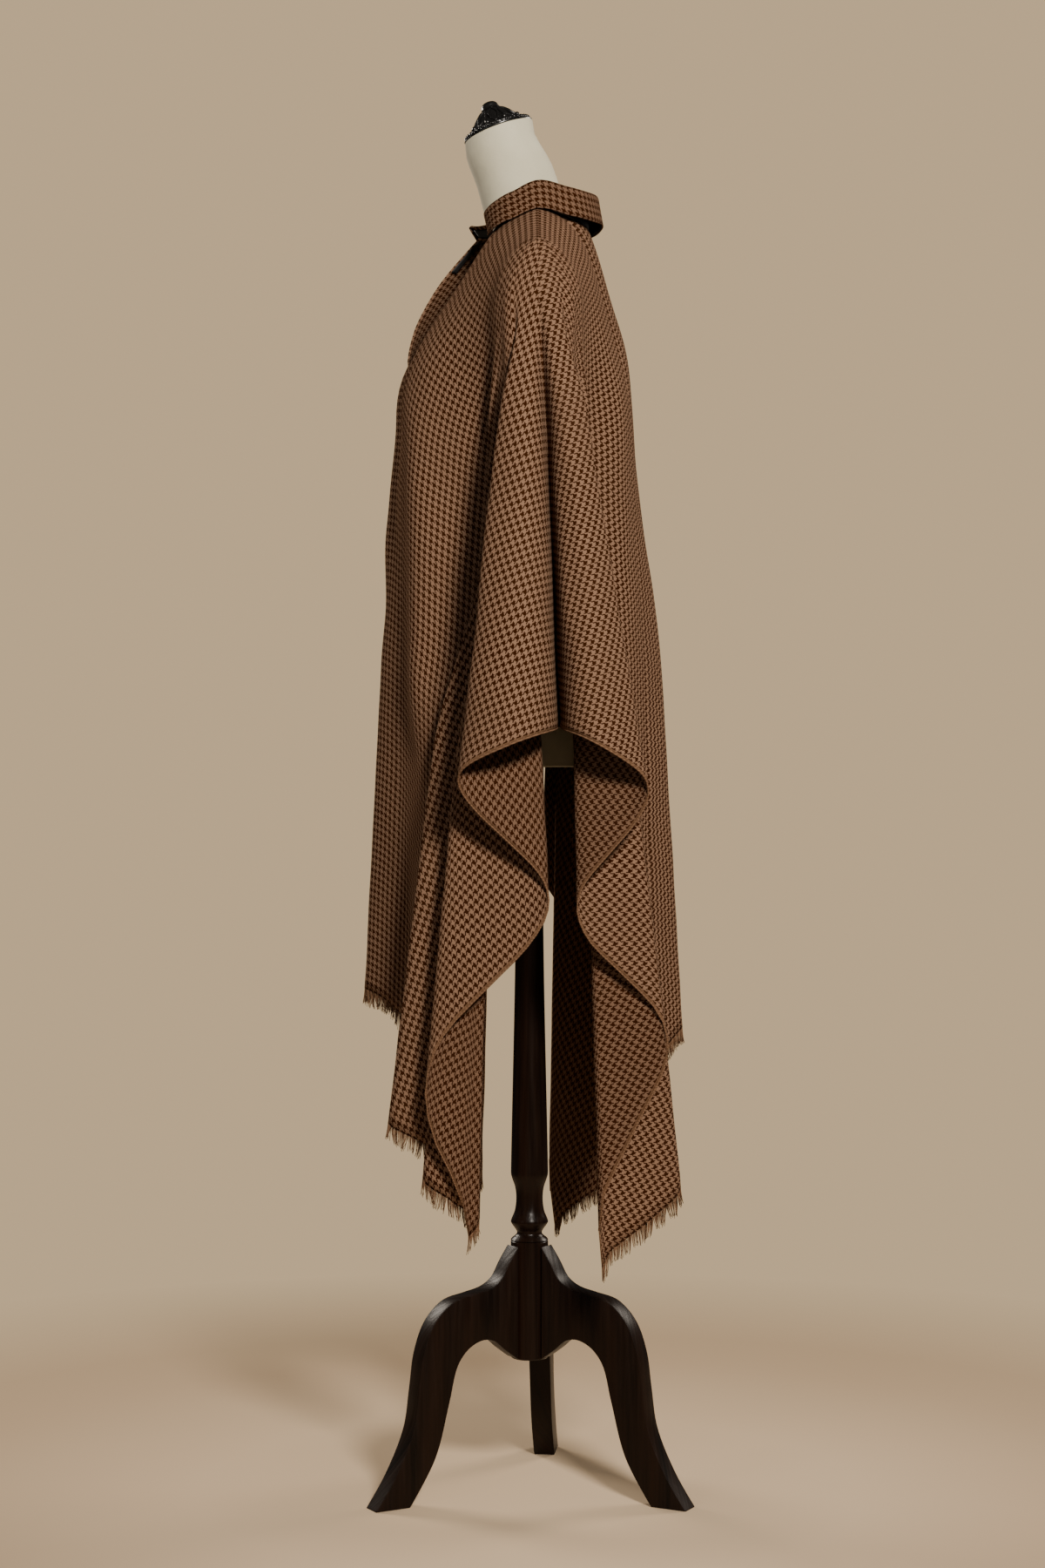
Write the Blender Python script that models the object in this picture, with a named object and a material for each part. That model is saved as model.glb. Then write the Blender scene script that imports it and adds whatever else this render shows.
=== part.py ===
"""A wool poncho with a turned-down collar, hung on a limbless dress form with a turned pole and three legs.

Metres, +Z up, floor at Z = 0. The wearer faces -Y and the wearer's left side is +X.
The cloth is one rectangle. Beyond each shoulder point it hangs as a fan of straight fold lines from that
point, so each fold is one row of a table: where its line lies in the flat cloth and where its end hangs.
"""

import math
from collections import namedtuple

import bmesh
import bpy
from mathutils import Matrix, Vector
from mathutils.bvhtree import BVHTree

# Driving sizes of the flat cloth
SHOULDER_FLAT = 0.19        # centre to shoulder point, across the flat cloth
SIDE_FLAT = 0.575           # shoulder point to selvedge, across the flat cloth
FRONT_LENGTH = 1.01         # shoulder line to front hem
BACK_LENGTH = 1.055         # shoulder line to back hem
FRONT_CORNER = math.degrees(math.atan2(FRONT_LENGTH, SIDE_FLAT))   # directions of the cloth's corners
BACK_CORNER = math.degrees(math.atan2(BACK_LENGTH, SIDE_FLAT))
NECK_HALF_WIDTH = 0.075
NECK_FRONT = 0.070          # shoulder line to the front of the neck hole
NECK_BACK = 0.088           # shoulder line to the back of the neck hole
SLIT_END = 0.262            # shoulder line to the bottom of the front slit
SLIT_OPENING = 0.046        # how far each slit edge stands out at its top
SLIT_SPREAD = 0.115         # width of cloth over which that opening dies away
FAR_EDGE_ROLL = 0.028       # how far the right slit edge rolls forward
CLOTH_WALL = 0.0015
SEAM_GAP = 0.0005
FRINGE_GAP = 0.0024
FRINGE_WALL = 0.0010
FRINGE_STRIP = 0.004
FRINGE_LENGTH = 0.021
STRAND_PITCH = 0.0150
STRAND_TIP_SHARE = 0.30

# Where the cloth is carried
NECK_SIDE_HEIGHT = 1.530    # shoulder line at the side of the neck hole
FRONT_TOP_HEIGHT = 1.556    # shoulder line carried on to the middle, for the front panel
BACK_TOP_HEIGHT = 1.572     # and for the back panel
SHOULDER_PITCH = math.radians(27)
SHOULDER_BACK = 0.0095      # shoulder line behind the pole axis
FOLD_START = 0.05           # side folds swing from here to FOLD_FULL, measured from the shoulder point
FOLD_FULL = 0.22
LOW_START = 0.26            # folds near and on the panels swing forwards or back from here to LOW_FULL
LOW_FULL = 0.62
LOW_ANGLES = (44, 52)       # angles between which the one gives way to the other
TIP_ROUNDING = 3.4          # degrees to each side over which the tips of the folds are rounded

# One row for each fold line of a side, from the back to the front.
# angle: direction in the flat cloth round the shoulder point, 0 sideways, +90 front, -90 back.
# forward, outward: where the line's end hangs. drop: how much lower than its flat length it hangs.
Fold = namedtuple("Fold", "name angle forward outward drop")
LEFT_FOLDS = (
    Fold("back side line", -90, -0.115, 0.094, 0.0),
    Fold("back panel ridge", -86, -0.164, 0.104, 0.0),
    Fold("back panel valley", -78, -0.090, 0.123, 0.0),
    Fold("back outline flute", -70, -0.201, 0.143, 0.0),
    Fold("back corner face", -66, -0.128, 0.153, 0.0),
    Fold("back corner", -BACK_CORNER, -0.074, 0.165, 0.0),
    Fold("back third fold", -59, -0.052, 0.171, 0.0),
    Fold("back second flute", -53.5, -0.190, 0.186, 0.0),
    Fold("back second face", -48.5, -0.104, 0.198, 0.0),
    Fold("back valley", -43, -0.038, 0.212, 0.0),
    Fold("back first inside", -37.5, -0.090, 0.229, 0.0),
    Fold("back first flute", -31, -0.140, 0.250, 0.0),
    Fold("back first face", -21, -0.082, 0.286, 0.0),
    Fold("back lip", -11.5, -0.043, 0.262, 0.0),
    Fold("side slot", 0, -0.033, 0.192, 0.0),
    Fold("front lip", 11.5, -0.024, 0.266, 0.0),
    Fold("front first face", 19, 0.020, 0.296, 0.0),
    Fold("front first flute", 27.5, 0.089, 0.260, 0.0),
    Fold("front first inside", 35.5, 0.026, 0.238, 0.0),
    Fold("front valley", 43, -0.034, 0.218, 0.0),
    Fold("front second face", 49, 0.048, 0.202, 0.0),
    Fold("front second flute", 55, 0.142, 0.186, 0.0),
    Fold("front corner", FRONT_CORNER, 0.056, 0.172, 0.0),
    Fold("front pleat valley", 62.5, 0.014, 0.166, 0.0),
    Fold("front pleat flute", 67.5, 0.158, 0.153, 0.025),
    Fold("front outline face", 73, 0.080, 0.139, 0.010),
    Fold("front outline flute", 78, 0.202, 0.126, 0.030),
    Fold("front panel valley", 84, 0.092, 0.111, 0.0),
    Fold("front side line", 90, 0.154, 0.095, 0.0),
)
RIGHT_FOLDS = (
    Fold("back side line", -90, -0.112, 0.096, 0.0),
    Fold("back panel ridge", -85, -0.162, 0.107, 0.0),
    Fold("back panel valley", -78, -0.092, 0.124, 0.0),
    Fold("back outline flute", -71, -0.166, 0.141, 0.0),
    Fold("back corner face", -66, -0.084, 0.153, 0.0),
    Fold("back corner", -BACK_CORNER, -0.026, 0.164, 0.0),
    Fold("back third fold", -58, -0.010, 0.172, 0.0),
    Fold("back second flute", -51, -0.136, 0.192, 0.0),
    Fold("back valley", -41, -0.006, 0.217, 0.0),
    Fold("back first flute", -28, -0.122, 0.256, 0.0),
    Fold("back first face", -18, -0.074, 0.290, 0.0),
    Fold("back lip", -9, -0.024, 0.262, 0.0),
    Fold("side slot", 1, -0.010, 0.192, 0.0),
    Fold("front lip", 12, 0.004, 0.266, 0.0),
    Fold("front first face", 21, 0.040, 0.292, 0.0),
    Fold("front first flute", 30, 0.094, 0.254, 0.0),
    Fold("front valley", 42, 0.022, 0.218, 0.0),
    Fold("front second flute", 53.5, 0.128, 0.190, 0.0),
    Fold("front corner", FRONT_CORNER, 0.062, 0.172, 0.0),
    Fold("front pleat valley", 63.5, 0.048, 0.163, 0.0),
    Fold("front outline face", 70, 0.124, 0.146, 0.0),
    Fold("front outline flute", 77, 0.160, 0.128, 0.0),
    Fold("front panel valley", 84, 0.094, 0.112, 0.0),
    Fold("front side line", 90, 0.150, 0.097, 0.0),
)

# One row for each fold line of the panels between the shoulders; across is in the flat cloth.
# bend: length of the bend over the shoulder. slope: steepness below it, until the chest or blades end.
Panel = namedtuple("Panel", "name across forward outward bend slope")
FRONT_PANEL = (
    Panel("front panel hollow", 0.105, 0.142, 0.056, 0.090, 60),
    Panel("front middle", 0.0, 0.198, 0.0, 0.070, 57),
)
BACK_PANEL = (
    Panel("back panel hollow", 0.110, -0.130, 0.060, 0.120, 76),
    Panel("back middle", 0.0, -0.184, 0.0, 0.120, 73),
)
SIDE_BEND = 0.12
UPRIGHT = 90
CHEST_START = 0.20          # the slope over the chest turns upright from here to CHEST_END
CHEST_END = 0.32
BEND_STEP = 0.006           # step for adding up the bend

# How finely the cloth is divided
ANGLE_STEP = 2.0            # degrees between columns round a shoulder point
PANEL_COLUMNS = 7           # columns between a shoulder point and the middle
NECK_COLUMNS = 3            # of those, columns that end at the neck hole
SLIT_SHARE = (SLIT_END - NECK_FRONT) / (FRONT_LENGTH - NECK_FRONT)
RING_SHARES = (0.0, 0.045, 0.09, 0.14, SLIT_SHARE, 0.30, 0.42, 0.56, 0.70, 0.85, 1.0)

# Collar, one row for each place round it, from the back to a front end
# stand, lean: height of the stand and its outward lean. fall: width turned down.
# droop: steepness of the fall. swept: how far it turns back.
CollarRow = namedtuple("CollarRow", "name from_back stand lean fall droop swept")
COLLAR = (
    CollarRow("back", 0.0, 0.036, 0.0, 0.032, 90, 0),
    CollarRow("side", 0.5, 0.025, 0.0, 0.033, 80, 0),
    CollarRow("front of neck", 0.8, 0.015, 0.3, 0.032, 62, 45),
    CollarRow("front end", 1.0, 0.010, 0.8, 0.030, 44, 110),
)
COLLAR_WALL = 0.0014
COLLAR_ROLL = 0.0042        # radius of the turn from stand to fall
COLLAR_CLEARANCE = 0.0068   # least distance between the middles of the fall's wall and the cloth's
FALL_STEPS = 3
COLLAR_STEPS = 28
ROLL_STEPS = 4
FACING_LENGTH = 0.065
FACING_WIDTH = 0.014
FACING_WALL = 0.0012
FACING_GAP = 0.0009
FACING_STEPS = 6
FACING_START = 0.004        # from the neck hole's edge down to the strip's top
FACING_INSET = 0.0015       # from the slit's edge to the strip's edge
NEARBY = 0.01               # flat distance to the points that give the cloth's slope at a place
PATH_NEARBY = 0.01          # the same along the neck's edge, as a share of its length

# Dress form, one row for each section; lean tips the section's front down, and roundness 2 is an
# ellipse, more is squarer, less is more pointed, as for the shoulders that carry the cloth
Section = namedtuple("Section", "height forward half_width half_depth lean roundness")
FORM_SECTIONS = (
    Section(0.869, -0.006, 0.132, 0.092, 0, 2.3),
    Section(0.905, -0.006, 0.140, 0.098, 0, 2.3),
    Section(0.985, -0.002, 0.138, 0.096, 0, 2.3),
    Section(1.080, 0.006, 0.112, 0.078, 0, 2.3),
    Section(1.140, 0.010, 0.110, 0.078, 0, 2.3),
    Section(1.240, 0.014, 0.128, 0.098, 0, 2.3),
    Section(1.310, 0.014, 0.140, 0.108, 0, 2.3),
    Section(1.380, 0.006, 0.147, 0.094, 0, 2.3),
    Section(1.430, -0.006, 0.150, 0.070, 0, 2.2),
    Section(1.463, -0.009, 0.153, 0.052, 0, 1.9),
    Section(1.480, -0.0095, 0.153, 0.044, 0, 1.5),
    Section(1.4893, -0.0095, 0.1505, 0.040, 0, 1.3),
    Section(1.504, -0.0095, 0.1220, 0.040, 0, 1.3),
    Section(1.513, -0.0095, 0.1040, 0.040, 0, 1.3),
    Section(1.519, -0.0060, 0.0660, 0.046, 3, 1.8),
    Section(1.540, 0.004, 0.050, 0.048, 11, 2.2),
    Section(1.585, 0.018, 0.047, 0.047, 16, 2.2),
    Section(1.633, 0.037, 0.043, 0.043, 19.5, 2.1),
)
FORM_SIDES = 32

# Neck cap, one row for each ring of its bell, along its own tilted axis
CapRing = namedtuple("CapRing", "height radius")
CAP_RINGS = (
    CapRing(0.0, 0.0428),
    CapRing(0.0045, 0.0436),
    CapRing(0.0085, 0.0405),
    CapRing(0.0120, 0.0330),
    CapRing(0.0200, 0.0235),
    CapRing(0.0280, 0.0165),
    CapRing(0.0325, 0.0120),
    CapRing(0.0350, 0.0112),
    CapRing(0.0380, 0.0080),
)
CAP_RIBS = 16
CAP_RIB_DEPTH = 0.06
CAP_GAP = 0.0004

# Stand
Turn = namedtuple("Turn", "height radius")
POLE_TURNS = (
    Turn(0.8686, 0.0170),
    Turn(0.660, 0.0170),
    Turn(0.382, 0.0224),
    Turn(0.376, 0.0218),
    Turn(0.362, 0.0172),
    Turn(0.348, 0.0160),
    Turn(0.334, 0.0178),
    Turn(0.324, 0.0218),
    Turn(0.3205, 0.0224),
    Turn(0.316, 0.0196),
    Turn(0.310, 0.0155),
    Turn(0.306, 0.0155),
    Turn(0.2993, 0.0226),
)
POLE_SIDES = 24
HUB_TOP = 0.2988
HUB_BOTTOM = 0.157
HUB_RADIUS = 0.0225
LEG_BOARD = 0.026
LEG_ANGLES = {"leg_left": -60.0, "leg_right": 61.5, "leg_rear": 173.5}
LEG_EDGE_STEPS = 24
LEG_ROOT_GAP = 0.0004

# Leg outline as radius from the root and height: the outer edge down to the foot, the inner edge up again
LegPoint = namedtuple("LegPoint", "radius height")
LEG_OUTER = (
    LegPoint(0.0, 0.2935),
    LegPoint(0.0120, 0.2758),
    LegPoint(0.0240, 0.2560),
    LegPoint(0.0390, 0.2465),
    LegPoint(0.0600, 0.2417),
    LegPoint(0.0905, 0.2342),
    LegPoint(0.1145, 0.2113),
    LegPoint(0.1285, 0.1760),
    LegPoint(0.1345, 0.1356),
    LegPoint(0.1425, 0.0876),
    LegPoint(0.1655, 0.0379),
    LegPoint(0.1910, 0.0),
)
LEG_INNER = (
    LegPoint(0.1460, 0.0),
    LegPoint(0.1122, 0.0539),
    LegPoint(0.0928, 0.1202),
    LegPoint(0.0830, 0.1575),
    LegPoint(0.0688, 0.1767),
    LegPoint(0.0498, 0.1861),
    LegPoint(0.0332, 0.1842),
    LegPoint(0.0177, 0.1719),
    LegPoint(0.0, 0.1590),
)

WOOL = (0.20, 0.115, 0.065)
SATIN = (0.012, 0.011, 0.011)
CANVAS = (0.72, 0.68, 0.58)
WOOD = (0.030, 0.016, 0.010)
CAST = (0.012, 0.012, 0.012)


def clear_scene():
    for thing in list(bpy.data.objects):
        bpy.data.objects.remove(thing, do_unlink=True)


def finish(name, colour, roughness, metallic=0.0):
    material = bpy.data.materials.new(name)
    material.use_nodes = True
    shader = material.node_tree.nodes["Principled BSDF"]
    shader.inputs["Base Color"].default_value = (*colour, 1.0)
    shader.inputs["Roughness"].default_value = roughness
    shader.inputs["Metallic"].default_value = metallic
    return material


def add_object(name, mesh, material, parent, smooth=True):
    thing = bpy.data.objects.new(name, mesh)
    bpy.context.scene.collection.objects.link(thing)
    thing.parent = parent
    mesh.materials.append(material)
    if smooth:
        mesh.shade_smooth()
    return thing


def mesh_from(name, points, faces):
    mesh = bpy.data.meshes.new(name)
    mesh.from_pydata([tuple(p) for p in points], [], faces)
    mesh.validate()
    return mesh


def thicken(thing, wall):
    """Gives a sheet its wall, half to each side, with the same facets on both."""
    thing.modifiers.new("facets", "TRIANGULATE")
    solidify = thing.modifiers.new("wall", "SOLIDIFY")
    solidify.thickness = wall
    solidify.offset = 0.0


def smooth_rise(value, start, end):
    share = min(max((value - start) / (end - start), 0.0), 1.0)
    return share * share * (3.0 - 2.0 * share)


def through(stations, values, at):
    """A smooth curve through values at rising stations, read at one station."""
    last = len(stations) - 1
    left = 0
    while left < last - 1 and at > stations[left + 1]:
        left += 1
    span = stations[left + 1] - stations[left]
    share = (at - stations[left]) / span

    def slope(i):
        if i == 0 or i == last:
            return 0.0
        return (values[i + 1] - values[i - 1]) / (stations[i + 1] - stations[i - 1])

    start, end = values[left], values[left + 1]
    rise_in, rise_out = slope(left) * span, slope(left + 1) * span
    square, cube = share * share, share ** 3
    return (
        start * (2 * cube - 3 * square + 1)
        + rise_in * (cube - 2 * square + share)
        + end * (3 * square - 2 * cube)
        + rise_out * (cube - square)
    )


# The hang of one line of the cloth
Line = namedtuple("Line", "anchor heading pitch bend slope length end low")


def shoulder_line(across, top):
    """A point of the shoulder line, which slopes from the neck to the shoulder points."""
    side = math.copysign(1.0, across)
    past_neck = abs(across) - NECK_HALF_WIDTH
    if past_neck > 0:
        x = NECK_HALF_WIDTH + past_neck * math.cos(SHOULDER_PITCH)
        z = NECK_SIDE_HEIGHT - past_neck * math.sin(SHOULDER_PITCH)
    else:
        x = abs(across)
        share = abs(across) / NECK_HALF_WIDTH
        z = top + (NECK_SIDE_HEIGHT - top) * share * share
    return Vector((side * x, SHOULDER_BACK, z))


def side_length(angle):
    """Flat distance from the shoulder point to the cloth's edge in this direction."""
    turn = math.radians(angle)
    to_selvedge = SIDE_FLAT / max(math.cos(turn), 1e-6)
    if angle == 0:
        return to_selvedge
    hem = FRONT_LENGTH if angle > 0 else BACK_LENGTH
    return min(to_selvedge, hem / abs(math.sin(turn)))


def fold_end(folds, angle):
    """Where the line in this direction ends, read from the fold table with its tips rounded off."""
    stations = [fold.angle for fold in folds]
    before = max(angle - TIP_ROUNDING, stations[0])
    after = min(angle + TIP_ROUNDING, stations[-1])

    def rounded(name):
        values = [getattr(fold, name) for fold in folds]
        beside = through(stations, values, before) + through(stations, values, after)
        return through(stations, values, angle) / 2 + beside / 4

    return Fold("line", angle, rounded("forward"), rounded("outward"), rounded("drop"))


def side_line(side, folds, angle):
    fold = fold_end(folds, angle)
    turn = math.radians(angle)
    heading = Vector((side * math.cos(turn), -math.sin(turn), 0.0))
    return Line(
        shoulder_line(side * SHOULDER_FLAT, FRONT_TOP_HEIGHT),
        heading,
        SHOULDER_PITCH * math.cos(turn),
        SIDE_BEND,
        math.radians(UPRIGHT),
        side_length(angle) + fold.drop,
        Vector((side * fold.outward, -fold.forward, 0.0)),
        smooth_rise(abs(angle), *LOW_ANGLES),
    )


def panel_line(side, rows, edge_fold, across):
    """A line down the front or back panel; the mirrored hollow beyond the middle keeps the middle smooth."""
    front = edge_fold.forward > 0
    edge = Panel("edge", SHOULDER_FLAT, edge_fold.forward, edge_fold.outward, SIDE_BEND, UPRIGHT)
    middle, hollow = rows[::-1]
    beyond = hollow._replace(across=-hollow.across, outward=-hollow.outward)
    rows = (beyond, middle, hollow, edge)
    stations = [row.across for row in rows]

    def column(name):
        return through(stations, [getattr(row, name) for row in rows], across)

    return Line(
        shoulder_line(side * across, FRONT_TOP_HEIGHT if front else BACK_TOP_HEIGHT),
        Vector((0.0, -1.0 if front else 1.0, 0.0)),
        0.0,
        column("bend"),
        math.radians(column("slope")),
        FRONT_LENGTH if front else BACK_LENGTH,
        Vector((side * column("outward"), -column("forward"), 0.0)),
        1.0,
    )


def over_shoulder(line, distance):
    """How far out and down a line has run after this distance, before any fold."""
    settled = max(line.bend, CHEST_END)
    steps = max(1, round(min(distance, settled) / BEND_STEP))
    step = min(distance, settled) / steps
    out = down = 0.0
    for i in range(steps):
        at = (i + 0.5) * step
        pitch = line.pitch + (line.slope - line.pitch) * smooth_rise(at, -line.bend / 2, line.bend)
        pitch += (math.radians(UPRIGHT) - line.slope) * smooth_rise(at, CHEST_START, CHEST_END)
        out += step * math.cos(pitch)
        down += step * math.sin(pitch)
    return out, down, max(distance - settled, 0.0)


def swing(line, distance, low):
    """Share of a fold's swing that is reached at this distance."""
    start = FOLD_START + (LOW_START - FOLD_START) * low
    full = FOLD_FULL + (LOW_FULL - FOLD_FULL) * low
    return distance / line.length * smooth_rise(distance, start, full)


def hang(line, distance):
    """The point of the cloth at this flat distance along a line."""
    out, down, straight = over_shoulder(line, distance)
    reach, _, full = over_shoulder(line, line.length)
    foot = line.anchor + line.heading * reach
    aside = line.end - Vector((foot.x, foot.y, 0.0))
    steep = math.sqrt(max(1.0 - (aside.length / full) ** 2, 0.0))
    point = line.anchor + line.heading * out
    point.x += aside.x * swing(line, distance, 0.0)
    point.y += aside.y * swing(line, distance, line.low)
    point.z -= down + straight * steep
    return point


def neck_edge(across, front):
    """Flat distance from the shoulder line to the neck hole's edge."""
    share = min(abs(across) / NECK_HALF_WIDTH, 1.0)
    return (NECK_FRONT if front else NECK_BACK) * math.sqrt(1.0 - share * share)


def slit_spread(point, side, across, along):
    """Moves a point near the slit outwards, and rolls the right edge forward."""
    if along >= SLIT_END:
        return point
    share = 1.0 - max(along, 0.0) / SLIT_END
    near = max(1.0 - across / SLIT_SPREAD, 0.0) ** 2
    opened = min(along / NECK_FRONT, 1.0)
    moved = point.copy()
    moved.x += side * SLIT_OPENING * share * near * opened
    if side < 0:
        moved.y -= FAR_EDGE_ROLL * math.sin(math.pi * share) * near * opened
    return moved


# A column of the cloth: its points from neck to edge, each with its place in the flat cloth
Column = namedtuple("Column", "keys points line kind")


def panel_column(side, rows, edge_fold, across):
    line = panel_line(side, rows, edge_fold, across)
    front = edge_fold.forward > 0
    start = neck_edge(across, front)
    keys, points = [], []
    for share in RING_SHARES:
        along = start + share * (line.length - start)
        point = hang(line, along)
        if front:
            point = slit_spread(point, side, across, along)
        split = side if front and across == 0 and along < SLIT_END - 1e-3 else 0
        keys.append((round(side * across, 5), round(along if front else -along, 5), split))
        points.append(point)
    return Column(keys, points, line, "front" if front else "back")


def side_column(side, folds, angle):
    line = side_line(side, folds, angle)
    flat = side_length(angle)
    turn = math.radians(angle)
    keys, points = [], []
    for share in RING_SHARES:
        across = side * (SHOULDER_FLAT + share * flat * math.cos(turn))
        along = share * flat * math.sin(turn)
        keys.append((round(across, 5), round(along, 5), 0))
        points.append(hang(line, share * line.length))
    if angle >= FRONT_CORNER:
        kind = "front"
    elif angle <= -BACK_CORNER:
        kind = "back"
    else:
        kind = "selvedge"
    return Column(keys, points, line, kind)


def evenly(start, end, step):
    count = max(1, round(abs(end - start) / step))
    return [start + (end - start) * i / count for i in range(count)]


def side_angles(folds):
    """Directions of the columns round a shoulder point, from back to front, one on each fold line."""
    angles = []
    for first, second in zip(folds, folds[1:]):
        angles += evenly(first.angle, second.angle, ANGLE_STEP)
    return angles + [folds[-1].angle]


def panel_places():
    """Flat distances of the panel columns from the middle, next to the middle first."""
    inner = [NECK_HALF_WIDTH * i / NECK_COLUMNS for i in range(NECK_COLUMNS + 1)]
    outer_count = PANEL_COLUMNS - NECK_COLUMNS
    width = SHOULDER_FLAT - NECK_HALF_WIDTH
    return inner + [NECK_HALF_WIDTH + width * i / outer_count for i in range(1, outer_count)]


def half_columns(side, folds):
    """The columns of one half of the cloth, from the back middle round the side to the front middle."""
    columns = [panel_column(side, BACK_PANEL, fold_end(folds, -90), place) for place in panel_places()]
    columns += [side_column(side, folds, angle) for angle in side_angles(folds)]
    columns += [panel_column(side, FRONT_PANEL, fold_end(folds, 90), place) for place in panel_places()[::-1]]
    return columns


def cloth_sheet(halves):
    """Points and faces of the sheet; points with the same place in the flat cloth are one point."""
    index, points, faces = {}, [], []

    def number(column, ring):
        key = column.keys[ring]
        if key not in index:
            index[key] = len(points)
            points.append(column.points[ring])
        return index[key]

    for side, columns in halves:
        for first, second in zip(columns, columns[1:]):
            for ring in range(len(RING_SHARES) - 1):
                corners = [
                    number(first, ring),
                    number(second, ring),
                    number(second, ring + 1),
                    number(first, ring + 1),
                ]
                face = list(dict.fromkeys(corners))
                if len(face) > 2:
                    faces.append(face if side < 0 else face[::-1])
    return points, faces


def fringe_mesh(name, edge):
    """A comb along a hem: a narrow strip with strands that share only their roots."""
    points, faces = [], []

    def rows(first, second, share):
        found = []
        for distance in (FRINGE_GAP, FRINGE_GAP + FRINGE_STRIP, FRINGE_GAP + FRINGE_LENGTH):
            start = hang(first, first.length + distance)
            end = hang(second, second.length + distance)
            found.append(start.lerp(end, share))
        return found

    stations = []
    for first, second in zip(edge, edge[1:]):
        width = (hang(first, first.length) - hang(second, second.length)).length
        strands = max(1, round(width / STRAND_PITCH))
        stations += [rows(first, second, i / strands) for i in range(strands)]
    stations.append(rows(edge[-2], edge[-1], 1.0))
    for top, middle, _ in stations:
        points += [top, middle]
    for i in range(len(stations) - 1):
        top, root = 2 * i, 2 * i + 1
        faces.append([top, root, root + 2, top + 2])
        left, right = stations[i][2], stations[i + 1][2]
        tip = len(points)
        points.append(left.lerp(right, 0.5 - STRAND_TIP_SHARE / 2))
        points.append(left.lerp(right, 0.5 + STRAND_TIP_SHARE / 2))
        faces.append([root, tip, tip + 1, root + 2])
    return mesh_from(name, points, faces)


def hem_lines(halves, kind):
    """The hanging lines that end on one hem, from the left selvedge to the right one."""
    left, right = [
        [column for column in columns if column.kind == kind] for _, columns in halves
    ]
    if kind == "front":
        ordered = left + right[::-1][1:]
    else:
        ordered = left[::-1] + right[1:]
    return [column.line for column in ordered]


def neck_points(halves):
    """The edge of the neck hole, from its left front round the back to its right front."""
    loops = []
    for _, columns in halves:
        back = [c.points[0] for c in columns[: NECK_COLUMNS + 1]]
        front = [c.points[0] for c in columns[-NECK_COLUMNS - 1:]]
        loops.append((back, front))
    (left_back, left_front), (right_back, right_front) = loops
    return left_front[::-1] + left_back[:-1][::-1] + right_back[1:] + right_front[1:]


def along_path(path, share):
    """A point at a share of a path's length, on a smooth curve through its points."""
    lengths = [0.0]
    for first, second in zip(path, path[1:]):
        lengths.append(lengths[-1] + (second - first).length)
    at = share * lengths[-1]
    return Vector([through(lengths, [p[axis] for p in path], at) for axis in range(3)])


def collar_rows(path):
    """Seam point, outward direction and the table's values at each step round the collar."""
    rows = []
    middle = sum(path, Vector()) / len(path)
    stations = [row.from_back for row in COLLAR]
    for i in range(COLLAR_STEPS + 1):
        share = i / COLLAR_STEPS
        seam = along_path(path, share)
        before = along_path(path, max(share - PATH_NEARBY, 0.0))
        after = along_path(path, min(share + PATH_NEARBY, 1.0))
        run = after - before
        out = Vector((run.y, -run.x, 0.0)).normalized()
        if out.dot(Vector((seam.x - middle.x, seam.y - middle.y, 0.0))) < 0:
            out = -out
        from_back = abs(2.0 * share - 1.0)
        columns = zip(*[row[2:] for row in COLLAR])
        values = [through(stations, column, from_back) for column in columns]
        rows.append((seam, out, CollarRow("step", from_back, *values)))
    return rows


def swept_sheet(name, profiles):
    points, faces = [], []
    width = len(profiles[0])
    for profile in profiles:
        points += profile
    for i in range(len(profiles) - 1):
        for j in range(width - 1):
            first = i * width + j
            faces.append([first, first + 1, first + width + 1, first + width])
    return mesh_from(name, points, faces)


def stand_profile(seam, out, row):
    up = Vector((0.0, 0.0, 1.0))
    foot = seam + up * (CLOTH_WALL / 2 + SEAM_GAP)
    top = foot + (up + out * row.lean) * row.stand
    return [foot, foot.lerp(top, 0.5), top]


def fall_profile(seam, out, row, cloth):
    """From just above the stand, over the roll and down, lying on the cloth where it meets it."""
    up = Vector((0.0, 0.0, 1.0))
    centre = stand_profile(seam, out, row)[-1] + up * SEAM_GAP + out * COLLAR_ROLL
    turned = math.radians(90 + row.droop)
    profile = []
    for i in range(ROLL_STEPS + 1):
        turn = turned * i / ROLL_STEPS
        profile.append(centre - out * COLLAR_ROLL * math.cos(turn) + up * COLLAR_ROLL * math.sin(turn))
    last = profile[-1]
    back = Matrix.Rotation(math.copysign(math.radians(row.swept), seam.x), 3, "Z") @ out
    droop = math.radians(row.droop)
    for i in range(1, FALL_STEPS + 1):
        along = row.fall * i / FALL_STEPS
        point = last + back * along * math.cos(droop) - up * along * math.sin(droop)
        near, facing, _, _ = cloth.find_nearest(point)
        facing *= math.copysign(1.0, facing.z)
        short = COLLAR_CLEARANCE - (point - near).dot(facing)
        profile.append(point + facing * max(short, 0.0))
    return profile


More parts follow.
